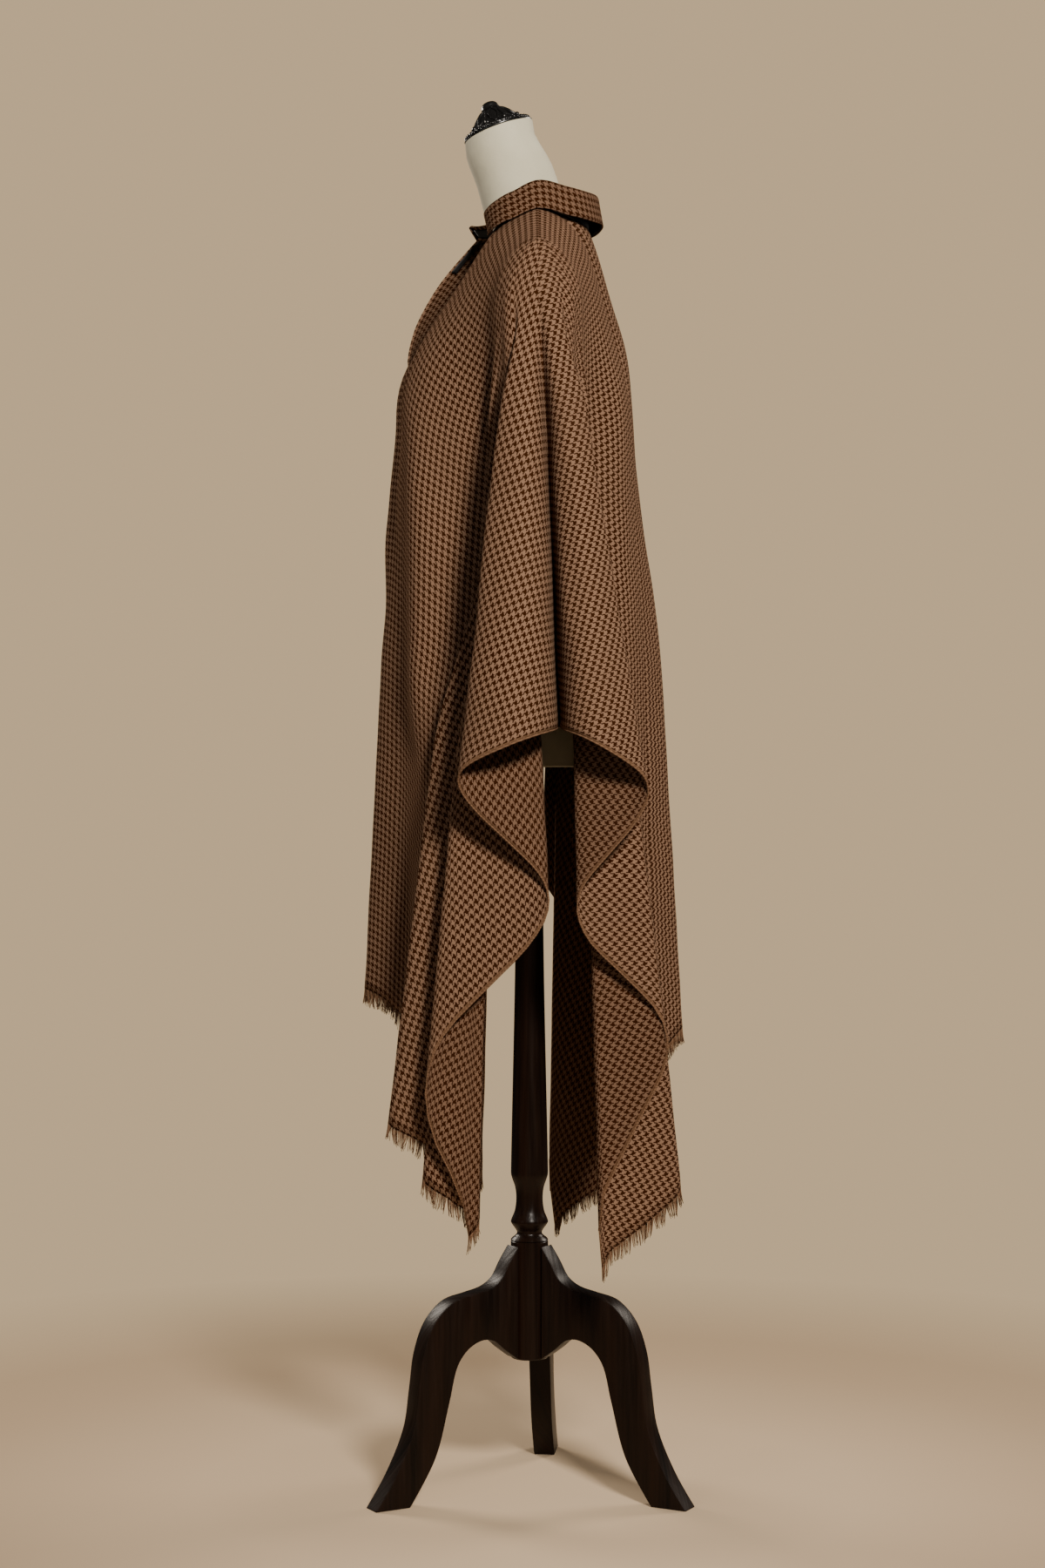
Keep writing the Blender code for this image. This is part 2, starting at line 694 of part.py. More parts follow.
def facing_mesh(name, halves, which):
    """A strip on the inside of one slit edge, made from the cloth's own points moved in."""
    side = halves[which][0]
    edge = fold_end(LEFT_FOLDS if side > 0 else RIGHT_FOLDS, 90)
    inset = CLOTH_WALL / 2 + FACING_GAP + FACING_WALL / 2
    profiles = []
    for i in range(FACING_STEPS + 1):
        along = NECK_FRONT + FACING_START + FACING_LENGTH * i / FACING_STEPS
        profile = []
        for across in (FACING_INSET, FACING_WIDTH / 2, FACING_WIDTH):
            line = panel_line(side, FRONT_PANEL, edge, across)
            here = slit_spread(hang(line, along), side, across, along)
            ahead = slit_spread(hang(line, along + NEARBY), side, across, along + NEARBY)
            beside_line = panel_line(side, FRONT_PANEL, edge, across + NEARBY)
            beside = slit_spread(hang(beside_line, along), side, across + NEARBY, along)
            normal = (ahead - here).cross(beside - here).normalized()
            if normal.y > 0:
                normal = -normal
            profile.append(here - normal * inset)
        profiles.append(profile)
    return swept_sheet(name, profiles)


def form_ring(section):
    lean = Matrix.Rotation(math.radians(section.lean), 3, "X")
    ring = []
    for i in range(FORM_SIDES):
        turn = 2 * math.pi * i / FORM_SIDES
        across, deep = math.cos(turn), math.sin(turn)
        x = section.half_width * math.copysign(abs(across) ** (2 / section.roundness), across)
        y = section.half_depth * math.copysign(abs(deep) ** (2 / section.roundness), deep)
        ring.append(lean @ Vector((x, y, 0.0)) + Vector((0.0, -section.forward, section.height)))
    return ring


def lofted(name, rings):
    """A closed solid through rings of equal count, lowest first, with flat ends."""
    points = [p for ring in rings for p in ring]
    count = len(rings[0])
    faces = [list(range(count))[::-1], list(range(len(points) - count, len(points)))]
    for i in range(len(rings) - 1):
        for j in range(count):
            nxt = (j + 1) % count
            low, high = i * count, (i + 1) * count
            faces.append([low + j, low + nxt, high + nxt, high + j])
    return mesh_from(name, points, faces)


def turned_rings(turns, sides):
    """Rings of a turned shape, lowest first."""
    rings = []
    for turn in sorted(turns, key=lambda row: row.height):
        ring = []
        for i in range(sides):
            angle = 2 * math.pi * i / sides
            ring.append(Vector((turn.radius * math.cos(angle), turn.radius * math.sin(angle), turn.height)))
        rings.append(ring)
    return rings


def cap_mesh():
    """The bell on the neck, ribbed, along the neck's own axis."""
    top = FORM_SECTIONS[-1]
    place = Matrix.Translation((0.0, -top.forward, top.height))
    place = place @ Matrix.Rotation(math.radians(top.lean), 4, "X")
    rings = []
    for row in CAP_RINGS:
        ring = []
        for i in range(2 * CAP_RIBS):
            angle = math.pi * i / CAP_RIBS
            ribbed = 1.0 - CAP_RIB_DEPTH * (i % 2)
            local = Vector((
                row.radius * ribbed * math.cos(angle),
                row.radius * ribbed * math.sin(angle),
                CAP_GAP + row.height,
            ))
            ring.append(place @ local)
        rings.append(ring)
    return lofted("neck_cap", rings)


def leg_edge(rows):
    path = [Vector((row.radius, 0.0, row.height)) for row in rows]
    return [along_path(path, i / LEG_EDGE_STEPS) for i in range(LEG_EDGE_STEPS + 1)]


def leg_mesh(name):
    """A board cut to the leg's outline, standing in the XZ plane with its root at X = 0."""
    bm = bmesh.new()
    aside = Vector((0.0, -LEG_BOARD / 2, 0.0))
    board = bm.faces.new([bm.verts.new(p + aside) for p in leg_edge(LEG_OUTER) + leg_edge(LEG_INNER)])
    grown = bmesh.ops.extrude_face_region(bm, geom=[board])
    moved = [item for item in grown["geom"] if isinstance(item, bmesh.types.BMVert)]
    bmesh.ops.translate(bm, verts=moved, vec=(0.0, LEG_BOARD, 0.0))
    bmesh.ops.recalc_face_normals(bm, faces=bm.faces)
    mesh = bpy.data.meshes.new(name)
    bm.to_mesh(mesh)
    bm.free()
    return mesh


def add_cloth(parent):
    wool = finish("wool_houndstooth", WOOL, 0.9)
    satin = finish("black_satin", SATIN, 0.35)
    halves = [(1, half_columns(1, LEFT_FOLDS)), (-1, half_columns(-1, RIGHT_FOLDS))]
    points, faces = cloth_sheet(halves)
    thicken(add_object("poncho_cloth", mesh_from("poncho_cloth", points, faces), wool, parent), CLOTH_WALL)
    for kind in ("front", "back"):
        name = f"fringe_{kind}"
        fringe = add_object(name, fringe_mesh(name, hem_lines(halves, kind)), wool, parent)
        thicken(fringe, FRINGE_WALL)
    rows = collar_rows(neck_points(halves))
    stand = swept_sheet("collar_stand", [stand_profile(*row) for row in rows])
    thicken(add_object("collar_stand", stand, satin, parent), COLLAR_WALL)
    cloth = BVHTree.FromPolygons(points, faces)
    fall = swept_sheet("collar_fall", [fall_profile(*row, cloth) for row in rows])
    thicken(add_object("collar_fall", fall, wool, parent), COLLAR_WALL)
    for which, name in enumerate(("slit_facing_left", "slit_facing_right")):
        facing = add_object(name, facing_mesh(name, halves, which), satin, parent)
        thicken(facing, FACING_WALL)


def add_form(parent):
    canvas = finish("form_canvas", CANVAS, 0.85)
    cast = finish("black_cast", CAST, 0.35, 0.2)
    torso = lofted("form_torso", [form_ring(section) for section in FORM_SECTIONS])
    add_object("form_torso", torso, canvas, parent)
    add_object("neck_cap", cap_mesh(), cast, parent)


def add_stand(parent):
    wood = finish("dark_wood", WOOD, 0.4)
    add_object("pole", lofted("pole", turned_rings(POLE_TURNS, POLE_SIDES)), wood, parent)
    hub_turns = (Turn(HUB_BOTTOM, HUB_RADIUS), Turn(HUB_TOP, HUB_RADIUS))
    add_object("hub", lofted("hub", turned_rings(hub_turns, POLE_SIDES)), wood, parent)
    for name, angle in LEG_ANGLES.items():
        leg = add_object(name, leg_mesh(name), wood, parent, smooth=False)
        turn = math.radians(angle)
        root = HUB_RADIUS + LEG_ROOT_GAP
        leg.location = (root * math.cos(turn), root * math.sin(turn), 0.0)
        leg.rotation_euler = (0.0, 0.0, turn)


def main():
    clear_scene()
    origin = bpy.data.objects.new("poncho_on_form", None)
    bpy.context.scene.collection.objects.link(origin)
    add_stand(origin)
    add_form(origin)
    add_cloth(origin)


main()
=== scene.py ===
"""Dresses the poncho on its dress form: draped houndstooth wool, fringe, collar, canvas form and dark wood.

Metres, +Z up, floor at Z = 0. The wearer faces -Y and the wearer's left side is +X, which the camera sees.
The cloth is one rectangle. Beyond each shoulder point it hangs as a fan of straight fold lines from that
point, so each fold is one row of a table: where its line lies in the flat cloth and where its end hangs.
"""

import math
import random
from collections import namedtuple

import bpy
import numpy as np
from mathutils import Matrix, Vector, noise
from mathutils.bvhtree import BVHTree


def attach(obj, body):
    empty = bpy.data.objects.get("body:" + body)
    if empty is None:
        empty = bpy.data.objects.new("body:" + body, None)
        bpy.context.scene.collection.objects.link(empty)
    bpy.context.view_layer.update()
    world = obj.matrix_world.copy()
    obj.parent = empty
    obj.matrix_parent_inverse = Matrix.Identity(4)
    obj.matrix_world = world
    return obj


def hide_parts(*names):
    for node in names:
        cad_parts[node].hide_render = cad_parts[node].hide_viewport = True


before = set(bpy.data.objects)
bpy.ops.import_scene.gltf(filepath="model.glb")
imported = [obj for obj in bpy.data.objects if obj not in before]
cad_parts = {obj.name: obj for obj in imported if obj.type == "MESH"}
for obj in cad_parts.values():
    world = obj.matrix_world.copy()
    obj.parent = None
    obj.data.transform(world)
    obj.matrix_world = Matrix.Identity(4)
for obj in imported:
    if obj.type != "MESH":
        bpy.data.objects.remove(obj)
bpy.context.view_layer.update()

# Driving sizes of the flat cloth
SHOULDER_FLAT = 0.19        # centre to shoulder point, across the flat cloth
SIDE_FLAT = 0.575           # shoulder point to selvedge, across the flat cloth
FRONT_LENGTH = 1.01         # shoulder line to front hem
BACK_LENGTH = 1.055         # shoulder line to back hem
FRONT_CORNER = math.degrees(math.atan2(FRONT_LENGTH, SIDE_FLAT))   # directions of the cloth's corners
BACK_CORNER = math.degrees(math.atan2(BACK_LENGTH, SIDE_FLAT))
NECK_HALF_WIDTH = 0.075
NECK_FRONT = 0.070          # shoulder line to the front of the neck hole
NECK_BACK = 0.088           # shoulder line to the back of the neck hole
SLIT_END = 0.262            # shoulder line to the bottom of the front slit
SLIT_OPENING = 0.046        # how far each slit edge stands out at its top
SLIT_SPREAD = 0.115         # width of cloth over which that opening dies away
FAR_EDGE_ROLL = 0.028       # how far the right slit edge rolls forward
FAR_EDGE_CURVE = 0.85       # less than 1 moves the widest part of that roll down the slit
NEAR_EDGE_TUCK = 0.008      # how far the left slit edge lies back
NEAR_EDGE_CURVE = 0.7       # and the same for that tuck
CLOTH_WALL = 0.0014
SEAM_GAP = 0.0005
FRINGE_LENGTH = 0.021

# Where the cloth is carried
NECK_SIDE_HEIGHT = 1.530    # shoulder line at the side of the neck hole
FRONT_TOP_HEIGHT = 1.556    # shoulder line carried on to the middle, for the front panel
BACK_TOP_HEIGHT = 1.572     # and for the back panel
SHOULDER_PITCH = math.radians(27)
SHOULDER_BACK = 0.0095      # shoulder line behind the pole axis
FOLD_START = 0.05           # side folds swing from here to FOLD_FULL, measured from the shoulder point
FOLD_FULL = 0.22
LOW_START = 0.26            # folds near and on the panels swing forwards or back from here to LOW_FULL
LOW_FULL = 0.62
LOW_ANGLES = (44, 52)       # angles between which the one gives way to the other
TIP_ROUNDING = 3.4          # degrees to each side over which the tips of the folds are rounded

# One row for each fold line of a side, from the back to the front.
# angle: direction in the flat cloth round the shoulder point, 0 sideways, +90 front, -90 back.
# forward, outward: where the line's end hangs. drop: how much lower than its flat length it hangs.
Fold = namedtuple("Fold", "name angle forward outward drop")
LEFT_FOLDS = (
    Fold("back side line", -90, -0.115, 0.094, 0.0),
    Fold("back panel ridge", -86, -0.164, 0.104, 0.0),
    Fold("back panel valley", -78, -0.090, 0.123, 0.0),
    Fold("back outline flute", -70, -0.201, 0.143, 0.0),
    Fold("back corner face", -66, -0.128, 0.153, 0.0),
    Fold("back corner", -BACK_CORNER, -0.074, 0.165, 0.0),
    Fold("back third fold", -59, -0.052, 0.171, 0.0),
    Fold("back second flute", -53.5, -0.190, 0.186, 0.0),
    Fold("back second face", -48.5, -0.104, 0.198, 0.0),
    Fold("back valley", -43, -0.038, 0.212, 0.0),
    Fold("back first inside", -37.5, -0.090, 0.229, 0.0),
    Fold("back first flute", -31, -0.140, 0.250, 0.0),
    Fold("back first face", -21, -0.082, 0.286, 0.0),
    Fold("back lip", -11.5, -0.043, 0.262, 0.0),
    Fold("side slot", 0, -0.033, 0.192, 0.0),
    Fold("front lip", 11.5, -0.024, 0.266, 0.0),
    Fold("front first face", 19, 0.020, 0.296, 0.0),
    Fold("front first flute", 27.5, 0.089, 0.260, 0.0),
    Fold("front first inside", 35.5, 0.026, 0.238, 0.0),
    Fold("front valley", 43, -0.034, 0.218, 0.0),
    Fold("front second face", 49, 0.048, 0.202, 0.0),
    Fold("front second flute", 55, 0.142, 0.186, 0.0),
    Fold("front corner", FRONT_CORNER, 0.056, 0.172, 0.0),
    Fold("front pleat valley", 62.5, 0.014, 0.166, 0.0),
    Fold("front pleat flute", 67.5, 0.158, 0.153, 0.025),
    Fold("front outline face", 73, 0.080, 0.139, 0.010),
    Fold("front outline flute", 78, 0.202, 0.126, 0.030),
    Fold("front panel valley", 84, 0.092, 0.111, 0.0),
    Fold("front side line", 90, 0.154, 0.095, 0.0),
)
RIGHT_FOLDS = (
    Fold("back side line", -90, -0.112, 0.096, 0.0),
    Fold("back panel ridge", -85, -0.162, 0.107, 0.0),
    Fold("back panel valley", -78, -0.092, 0.124, 0.0),
    Fold("back outline flute", -71, -0.166, 0.141, 0.0),
    Fold("back corner face", -66, -0.084, 0.153, 0.0),
    Fold("back corner", -BACK_CORNER, -0.026, 0.164, 0.0),
    Fold("back third fold", -58, -0.010, 0.172, 0.0),
    Fold("back second flute", -51, -0.136, 0.192, 0.0),
    Fold("back valley", -41, -0.006, 0.217, 0.0),
    Fold("back first flute", -28, -0.122, 0.256, 0.0),
    Fold("back first face", -18, -0.074, 0.290, 0.0),
    Fold("back lip", -9, -0.024, 0.262, 0.0),
    Fold("side slot", 1, -0.010, 0.192, 0.0),
    Fold("front lip", 12, 0.004, 0.266, 0.0),
    Fold("front first face", 21, 0.040, 0.292, 0.0),
    Fold("front first flute", 30, 0.094, 0.254, 0.0),
    Fold("front valley", 42, 0.022, 0.218, 0.0),
    Fold("front second flute", 53.5, 0.128, 0.190, 0.0),
    Fold("front corner", FRONT_CORNER, 0.062, 0.172, 0.0),
    Fold("front pleat valley", 63.5, 0.048, 0.163, 0.0),
    Fold("front outline face", 70, 0.124, 0.146, 0.0),
    Fold("front outline flute", 77, 0.160, 0.128, 0.0),
    Fold("front panel valley", 84, 0.094, 0.112, 0.0),
    Fold("front side line", 90, 0.150, 0.097, 0.0),
)

# One row for each fold line of the panels between the shoulders; across is in the flat cloth.
# bend: length of the bend over the shoulder. slope: steepness below it, until the chest or blades end.
Panel = namedtuple("Panel", "name across forward outward bend slope")
FRONT_PANEL = (
    Panel("front panel hollow", 0.105, 0.142, 0.056, 0.090, 60),
    Panel("front middle", 0.0, 0.198, 0.0, 0.070, 57),
)
BACK_PANEL = (
    Panel("back panel hollow", 0.110, -0.130, 0.060, 0.120, 76),
    Panel("back middle", 0.0, -0.184, 0.0, 0.120, 73),
)
SIDE_BEND = 0.12
UPRIGHT = 90
CHEST_START = 0.20          # the slope over the chest turns upright from here to CHEST_END
CHEST_END = 0.32

# How finely the cloth is divided, and how near two values are taken as one
ANGLE_STEP = 1.0            # degrees between columns round a shoulder point
PANEL_COLUMNS = 26          # columns between a shoulder point and the middle
NECK_COLUMNS = 10           # of those, columns that end at the neck hole
BEND_STEPS = 80             # steps for adding up the bend over the shoulder
SLIT_SHARE = (SLIT_END - NECK_FRONT) / (FRONT_LENGTH - NECK_FRONT)
SLIT_ROWS = 18              # rows of points down to the end of the slit
LOWER_ROWS = 58             # rows from there to the edge
ROW_SHARES = np.concatenate((
    np.linspace(0.0, SLIT_SHARE, SLIT_ROWS, endpoint=False),
    np.linspace(SLIT_SHARE, 1.0, LOWER_ROWS),
))
TINY = 1e-9
PARALLEL = 1e-4             # least sine of the angle between two directions that differ
NEAR = 1e-6
DIGITS = 5                  # decimals of a flat place that tell points apart
SLIT_CLOSES = 1e-3          # how far above the slit's end its two edges meet
PANEL_PLACE = 100.0         # places on the panels count on from 90 by this many a metre

# Charts of the weave: each keeps the flat cloth's places along its middle line. From there to its ends,
# which lie in deep valleys, the steps keep their flat directions but are as long as on the hanging cloth.
Chart = namedtuple("Chart", "middle first last")
MIDDLE_PLACE = 90 + PANEL_PLACE * SHOULDER_FLAT
LEFT_CHARTS = (
    Chart(-MIDDLE_PLACE, -MIDDLE_PLACE, -78),
    Chart(-70, -78, -59),
    Chart(-53.5, -59, -43),
    Chart(-21, -43, 0),
    Chart(19, 0, 43),
    Chart(55, 43, 62.5),
    Chart(67.5, 62.5, 73),
    Chart(78, 73, 84),
    Chart(MIDDLE_PLACE, 84, MIDDLE_PLACE),
)
RIGHT_CHARTS = (
    Chart(-MIDDLE_PLACE, -MIDDLE_PLACE, -78),
    Chart(-71, -78, -58),
    Chart(-51, -58, -41),
    Chart(-18, -41, 1),
    Chart(21, 1, 42),
    Chart(53.5, 42, 63.5),
    Chart(77, 63.5, 84),
    Chart(MIDDLE_PLACE, 84, MIDDLE_PLACE),
)

# Collar, one row for each place round it, from the back to a front end
# stand, lean: height of the stand and its outward lean. fall: width turned down.
# droop: steepness of the fall. swept: how far it turns back.
CollarRow = namedtuple("CollarRow", "name from_back stand lean fall droop swept")
COLLAR = (
    CollarRow("back", 0.0, 0.036, 0.10, 0.032, 80, 0),
    CollarRow("side", 0.5, 0.025, 0.04, 0.033, 76, 0),
    CollarRow("front of neck", 0.8, 0.015, 0.3, 0.034, 64, 45),
    CollarRow("front end", 1.0, 0.010, 0.8, 0.036, 52, 110),
)
COLLAR_ROLL = 0.0042        # radius of the turn from stand to fall
COLLAR_CLEARANCE = 0.0036   # least distance between the middles of the fall's wall and the cloth's
FALL_STEPS = 8
COLLAR_STEPS = 96
ROLL_STEPS = 8
FACING_LENGTH = 0.046
FACING_WIDTH = 0.014
FACING_WALL = 0.0012
FACING_GAP = 0.0009
FACING_STEPS = 16
FACING_START = 0.004        # from the neck hole's edge down to the strip's top
FACING_INSET = 0.0015       # from the slit's edge to the strip's edge
NEARBY = 0.01               # flat distance to the points that give the cloth's slope at a place
PATH_NEARBY = 0.01          # the same along the neck's edge, as a share of its length

# Dress form, one row for each section; lean tips the section's front down, and roundness 2 is an
# ellipse, more is squarer, less is more pointed, as for the shoulders that carry the cloth
Section = namedtuple("Section", "height forward half_width half_depth lean roundness")
FORM_SECTIONS = (
    Section(0.869, -0.006, 0.132, 0.092, 0, 2.3),
    Section(0.905, -0.006, 0.140, 0.098, 0, 2.3),
    Section(0.985, -0.002, 0.138, 0.096, 0, 2.3),
    Section(1.080, 0.006, 0.112, 0.078, 0, 2.3),
    Section(1.140, 0.010, 0.110, 0.078, 0, 2.3),
    Section(1.240, 0.014, 0.128, 0.098, 0, 2.3),
    Section(1.310, 0.014, 0.140, 0.108, 0, 2.3),
    Section(1.380, 0.006, 0.147, 0.094, 0, 2.3),
    Section(1.430, -0.006, 0.150, 0.070, 0, 2.2),
    Section(1.463, -0.009, 0.153, 0.052, 0, 1.9),
    Section(1.480, -0.0095, 0.153, 0.044, 0, 1.5),
    Section(1.4893, -0.0095, 0.1505, 0.040, 0, 1.3),
    Section(1.504, -0.0095, 0.1220, 0.040, 0, 1.3),
    Section(1.513, -0.0095, 0.1040, 0.040, 0, 1.3),
    Section(1.519, -0.0060, 0.0660, 0.046, 3, 1.8),
    Section(1.540, 0.004, 0.050, 0.048, 11, 2.2),
    Section(1.585, 0.018, 0.047, 0.047, 16, 2.2),
    Section(1.633, 0.037, 0.043, 0.043, 19.5, 2.1),
)
FORM_SIDES = 72

Turn = namedtuple("Turn", "height radius")
POLE_TURNS = (
    Turn(0.8686, 0.0170),
    Turn(0.660, 0.0170),
    Turn(0.382, 0.0224),
    Turn(0.376, 0.0218),
    Turn(0.362, 0.0172),
    Turn(0.348, 0.0160),
    Turn(0.334, 0.0178),
    Turn(0.324, 0.0218),
    Turn(0.3205, 0.0224),
    Turn(0.316, 0.0196),
    Turn(0.310, 0.0155),
    Turn(0.306, 0.0155),
    Turn(0.2993, 0.0226),
)
POLE_SIDES = 64
HUB_TOP = 0.2988
HUB_BOTTOM = 0.157
HUB_RADIUS = 0.0225
LEG_BOARD = 0.026
LEG_ANGLES = {"leg_left": -60.0, "leg_right": 61.5, "leg_rear": 173.5}
LEG_EDGE_STEPS = 60
LEG_ROOT_GAP = 0.0004

# Leg outline as radius from the root and height: the outer edge down to the foot, the inner edge up again
LegPoint = namedtuple("LegPoint", "radius height")
LEG_OUTER = (
    LegPoint(0.0, 0.2935),
    LegPoint(0.0120, 0.2758),
    LegPoint(0.0240, 0.2560),
    LegPoint(0.0390, 0.2465),
    LegPoint(0.0600, 0.2417),
    LegPoint(0.0905, 0.2342),
    LegPoint(0.1145, 0.2113),
    LegPoint(0.1285, 0.1760),
    LegPoint(0.1345, 0.1356),
    LegPoint(0.1425, 0.0876),
    LegPoint(0.1655, 0.0379),
    LegPoint(0.1910, 0.0),
)
LEG_INNER = (
    LegPoint(0.1460, 0.0),
    LegPoint(0.1122, 0.0539),
    LegPoint(0.0928, 0.1202),
    LegPoint(0.0830, 0.1575),
    LegPoint(0.0688, 0.1767),
    LegPoint(0.0498, 0.1861),
    LegPoint(0.0332, 0.1842),
    LegPoint(0.0177, 0.1719),
    LegPoint(0.0, 0.1590),
)

# Creases of the cloth, each a soft ridge or trough along a line in the flat cloth
# across, along: where it starts and ends. width: how far it spreads. depth: outwards, less than 0 inwards
Crease = namedtuple("Crease", "name from_across from_along to_across to_along width depth")
CREASES = (
    Crease("slit end dimple", 0.006, 0.215, 0.006, 0.560, 0.022, -0.0120),
    Crease("left front groove", 0.214, 0.110, 0.242, 0.520, 0.018, -0.0090),
    Crease("left front side ridge", 0.168, 0.150, 0.178, 0.600, 0.026, 0.0070),
    Crease("left front panel groove", 0.116, 0.240, 0.134, 0.700, 0.017, -0.0125),
    Crease("left back groove", 0.206, -0.110, 0.232, -0.560, 0.020, -0.0100),
    Crease("left back side ridge", 0.152, -0.120, 0.162, -0.660, 0.022, 0.0150),
    Crease("left shoulder trough", 0.215, 0.035, 0.330, 0.190, 0.020, -0.0035),
    Crease("left shoulder ridge", 0.230, 0.010, 0.420, 0.085, 0.022, 0.0030),
    Crease("left back trough", 0.215, -0.045, 0.330, -0.190, 0.020, -0.0035),
    Crease("left sleeve trough", 0.360, 0.110, 0.600, 0.230, 0.026, -0.0030),
    Crease("left sleeve ridge", 0.420, -0.060, 0.680, -0.150, 0.028, 0.0028),
    Crease("left front trough", 0.140, 0.330, 0.150, 0.760, 0.024, -0.0030),
    Crease("left front ridge", 0.070, 0.420, 0.075, 0.880, 0.026, 0.0025),
    Crease("left back panel trough", 0.090, -0.380, 0.100, -0.820, 0.028, -0.0030),
    Crease("right front groove", -0.212, 0.120, -0.238, 0.480, 0.018, -0.0090),
    Crease("right front side ridge", -0.166, 0.160, -0.174, 0.620, 0.026, 0.0070),
    Crease("right front panel groove", -0.110, 0.260, -0.124, 0.660, 0.017, -0.0115),
    Crease("right back groove", -0.214, -0.120, -0.238, -0.470, 0.018, -0.0095),
    Crease("right back side ridge", -0.156, -0.170, -0.164, -0.580, 0.026, 0.0080),
    Crease("right shoulder trough", -0.215, 0.040, -0.340, 0.200, 0.020, -0.0035),
    Crease("right shoulder ridge", -0.230, 0.005, -0.410, 0.070, 0.022, 0.0030),
    Crease("right back trough", -0.215, -0.040, -0.320, -0.170, 0.020, -0.0035),
    Crease("right sleeve trough", -0.350, 0.090, -0.580, 0.200, 0.026, -0.0030),
    Crease("right sleeve ridge", -0.430, -0.070, -0.700, -0.170, 0.028, 0.0028),
    Crease("right front trough", -0.120, 0.350, -0.135, 0.800, 0.024, -0.0030),
    Crease("right front ridge", -0.050, 0.450, -0.055, 0.900, 0.026, 0.0025),
    Crease("right back panel trough", -0.080, -0.400, -0.090, -0.860, 0.028, -0.0030),
)
CREASE_ENDS = 0.3           # share of a crease over which each end dies away
UNDULATION = 0.0012         # slight unevenness of the hang
UNDULATION_SCALE = 16.0
SETTLE_NEAR = 0.03          # the cloth is smoothed fully to here from a shoulder point, and dies away to
SETTLE_FAR = 0.11
SETTLE_ROUNDS = 12
SETTLE_FACTOR = 0.5

# Edges of the cloth
SELVEDGE_RADIUS = 0.0011
SELVEDGE_SIDES = 6
SELVEDGE_WIDTH = 0.0035
FRINGE_STEPS = 4
FRINGE_SIDES = 3
FRINGE_SEED = 7
FRINGE_RADIUS = 0.00065
FRINGE_TAPER = 0.55
FRINGE_ROOT = 0.0015        # how far a thread starts inside the hem
FRINGE_DROOP = 0.35         # how much the threads turn down under their weight
CLUMP_WIDTH = (0.005, 0.011)
CLUMP_LENGTH = (0.019, 0.0245)
CLUMP_LEAN = 0.22
CLUMP_PULL = 0.45
THREAD_LENGTH = (0.78, 1.0)
THREAD_SPACING = (0.0007, 0.0014)
THREAD_STRAY = 0.0022
STAND_STEPS = 4
FALL_WALL = 0.0022
STAND_WALL = 0.0012
FACING_ACROSS = 4

# Turned and cast pieces
FORM_STEP = 0.012
FORM_TUCK = 0.0045          # how far the form is lowered above the chest, clear of the settled cloth
FORM_TUCK_HEIGHTS = (1.40, 1.47)
FORM_SMOOTH = math.radians(50)      # edges blunter than these are shaded smooth
TURNED_SMOOTH = math.radians(40)
LEG_SMOOTH = math.radians(35)
POLE_STEP = 0.002
HUB_EDGE = 0.0015
LEG_EASE = 0.0030
LEG_EASE_STEPS = 3
LEG_EASE_ANGLE = math.radians(60)    # edges sharper than this are eased
CAP_GAP = 0.0004
CAP_TURNS = (
    Turn(0.0, 0.0428),
    Turn(0.0016, 0.0432),
    Turn(0.0024, 0.0408),
    Turn(0.0062, 0.0400),
    Turn(0.0078, 0.0345),
    Turn(0.0120, 0.0285),
    Turn(0.0160, 0.0240),
    Turn(0.0200, 0.0208),
    Turn(0.0240, 0.0170),
    Turn(0.0275, 0.0128),
    Turn(0.0290, 0.0108),
    Turn(0.0300, 0.0116),
    Turn(0.0312, 0.0106),
    Turn(0.0345, 0.0098),
    Turn(0.0372, 0.0072),
    Turn(0.0385, 0.0035),
    Turn(0.0388, 0.0),
)
CAP_STEP = 0.0008
CAP_SIDES = 64
CAP_BEADS = 44
CAP_BEAD_PLACE = 0.0398     # from the cap's axis
CAP_BEAD_HEIGHT = 0.0044
CAP_BEAD_RADIUS = 0.0022
CAP_BEAD_GRID = (6, 8)      # rings and sides of a bead
CAP_RIBS = 9
CAP_RIB_STEPS = 14
CAP_RIB_FOOT = 0.0082
CAP_RIB_HEAD = 0.0280
CAP_RIB_SPREAD = 0.26       # how far a leaf's two ribs stand apart, in radians
CAP_RIB_CURL = 0.7
CAP_RIB_PROUD = 0.0006
CAP_RIB_RADIUS = 0.0014
CAP_RIB_THIN = 0.6          # share of that radius at a rib's ends, and what its middle adds
CAP_RIB_SWELL = 0.6
CAP_RIB_SIDES = 8
CAP_LEAF_HEIGHT = 0.0100
CAP_LEAF_RADIUS = 0.0030
CAP_LEAF_GRID = (8, 10)

# Wool and the other looks
THREAD = 0.0010             # pitch of the threads
REPEAT = 8.0                # threads in a repeat, half of them dark
YARN_TWIST = 0.003
WOOL_LIGHT = (0.192, 0.108, 0.064)
WOOL_LIGHT_FLECK = (0.300, 0.182, 0.118)
WOOL_DARK = (0.022, 0.0050, 0.0008)
WOOL_DARK_FLECK = (0.038, 0.0105, 0.0020)
WOOL_WORN = (0.100, 0.054, 0.030)
WOOL_INSIDE_PAINTED_SHADE = 0.72           # painted shade: how light the wrong side and the collar are painted beside the right side, for the shade they lie in
WOOL_COLLAR_PAINTED_SHADE = 0.66
WOOL_EDGE = (0.200, 0.110, 0.060)
SATIN_DEEP = (0.006, 0.006, 0.007)
SATIN_LIGHT = (0.020, 0.019, 0.019)
CANVAS_LIGHT = (0.690, 0.640, 0.470)
CANVAS_WORN = (0.570, 0.520, 0.370)
CANVAS_DEEP = (0.430, 0.390, 0.290)
CAST_DEEP = (0.004, 0.004, 0.004)
CAST_LIGHT = (0.014, 0.013, 0.012)
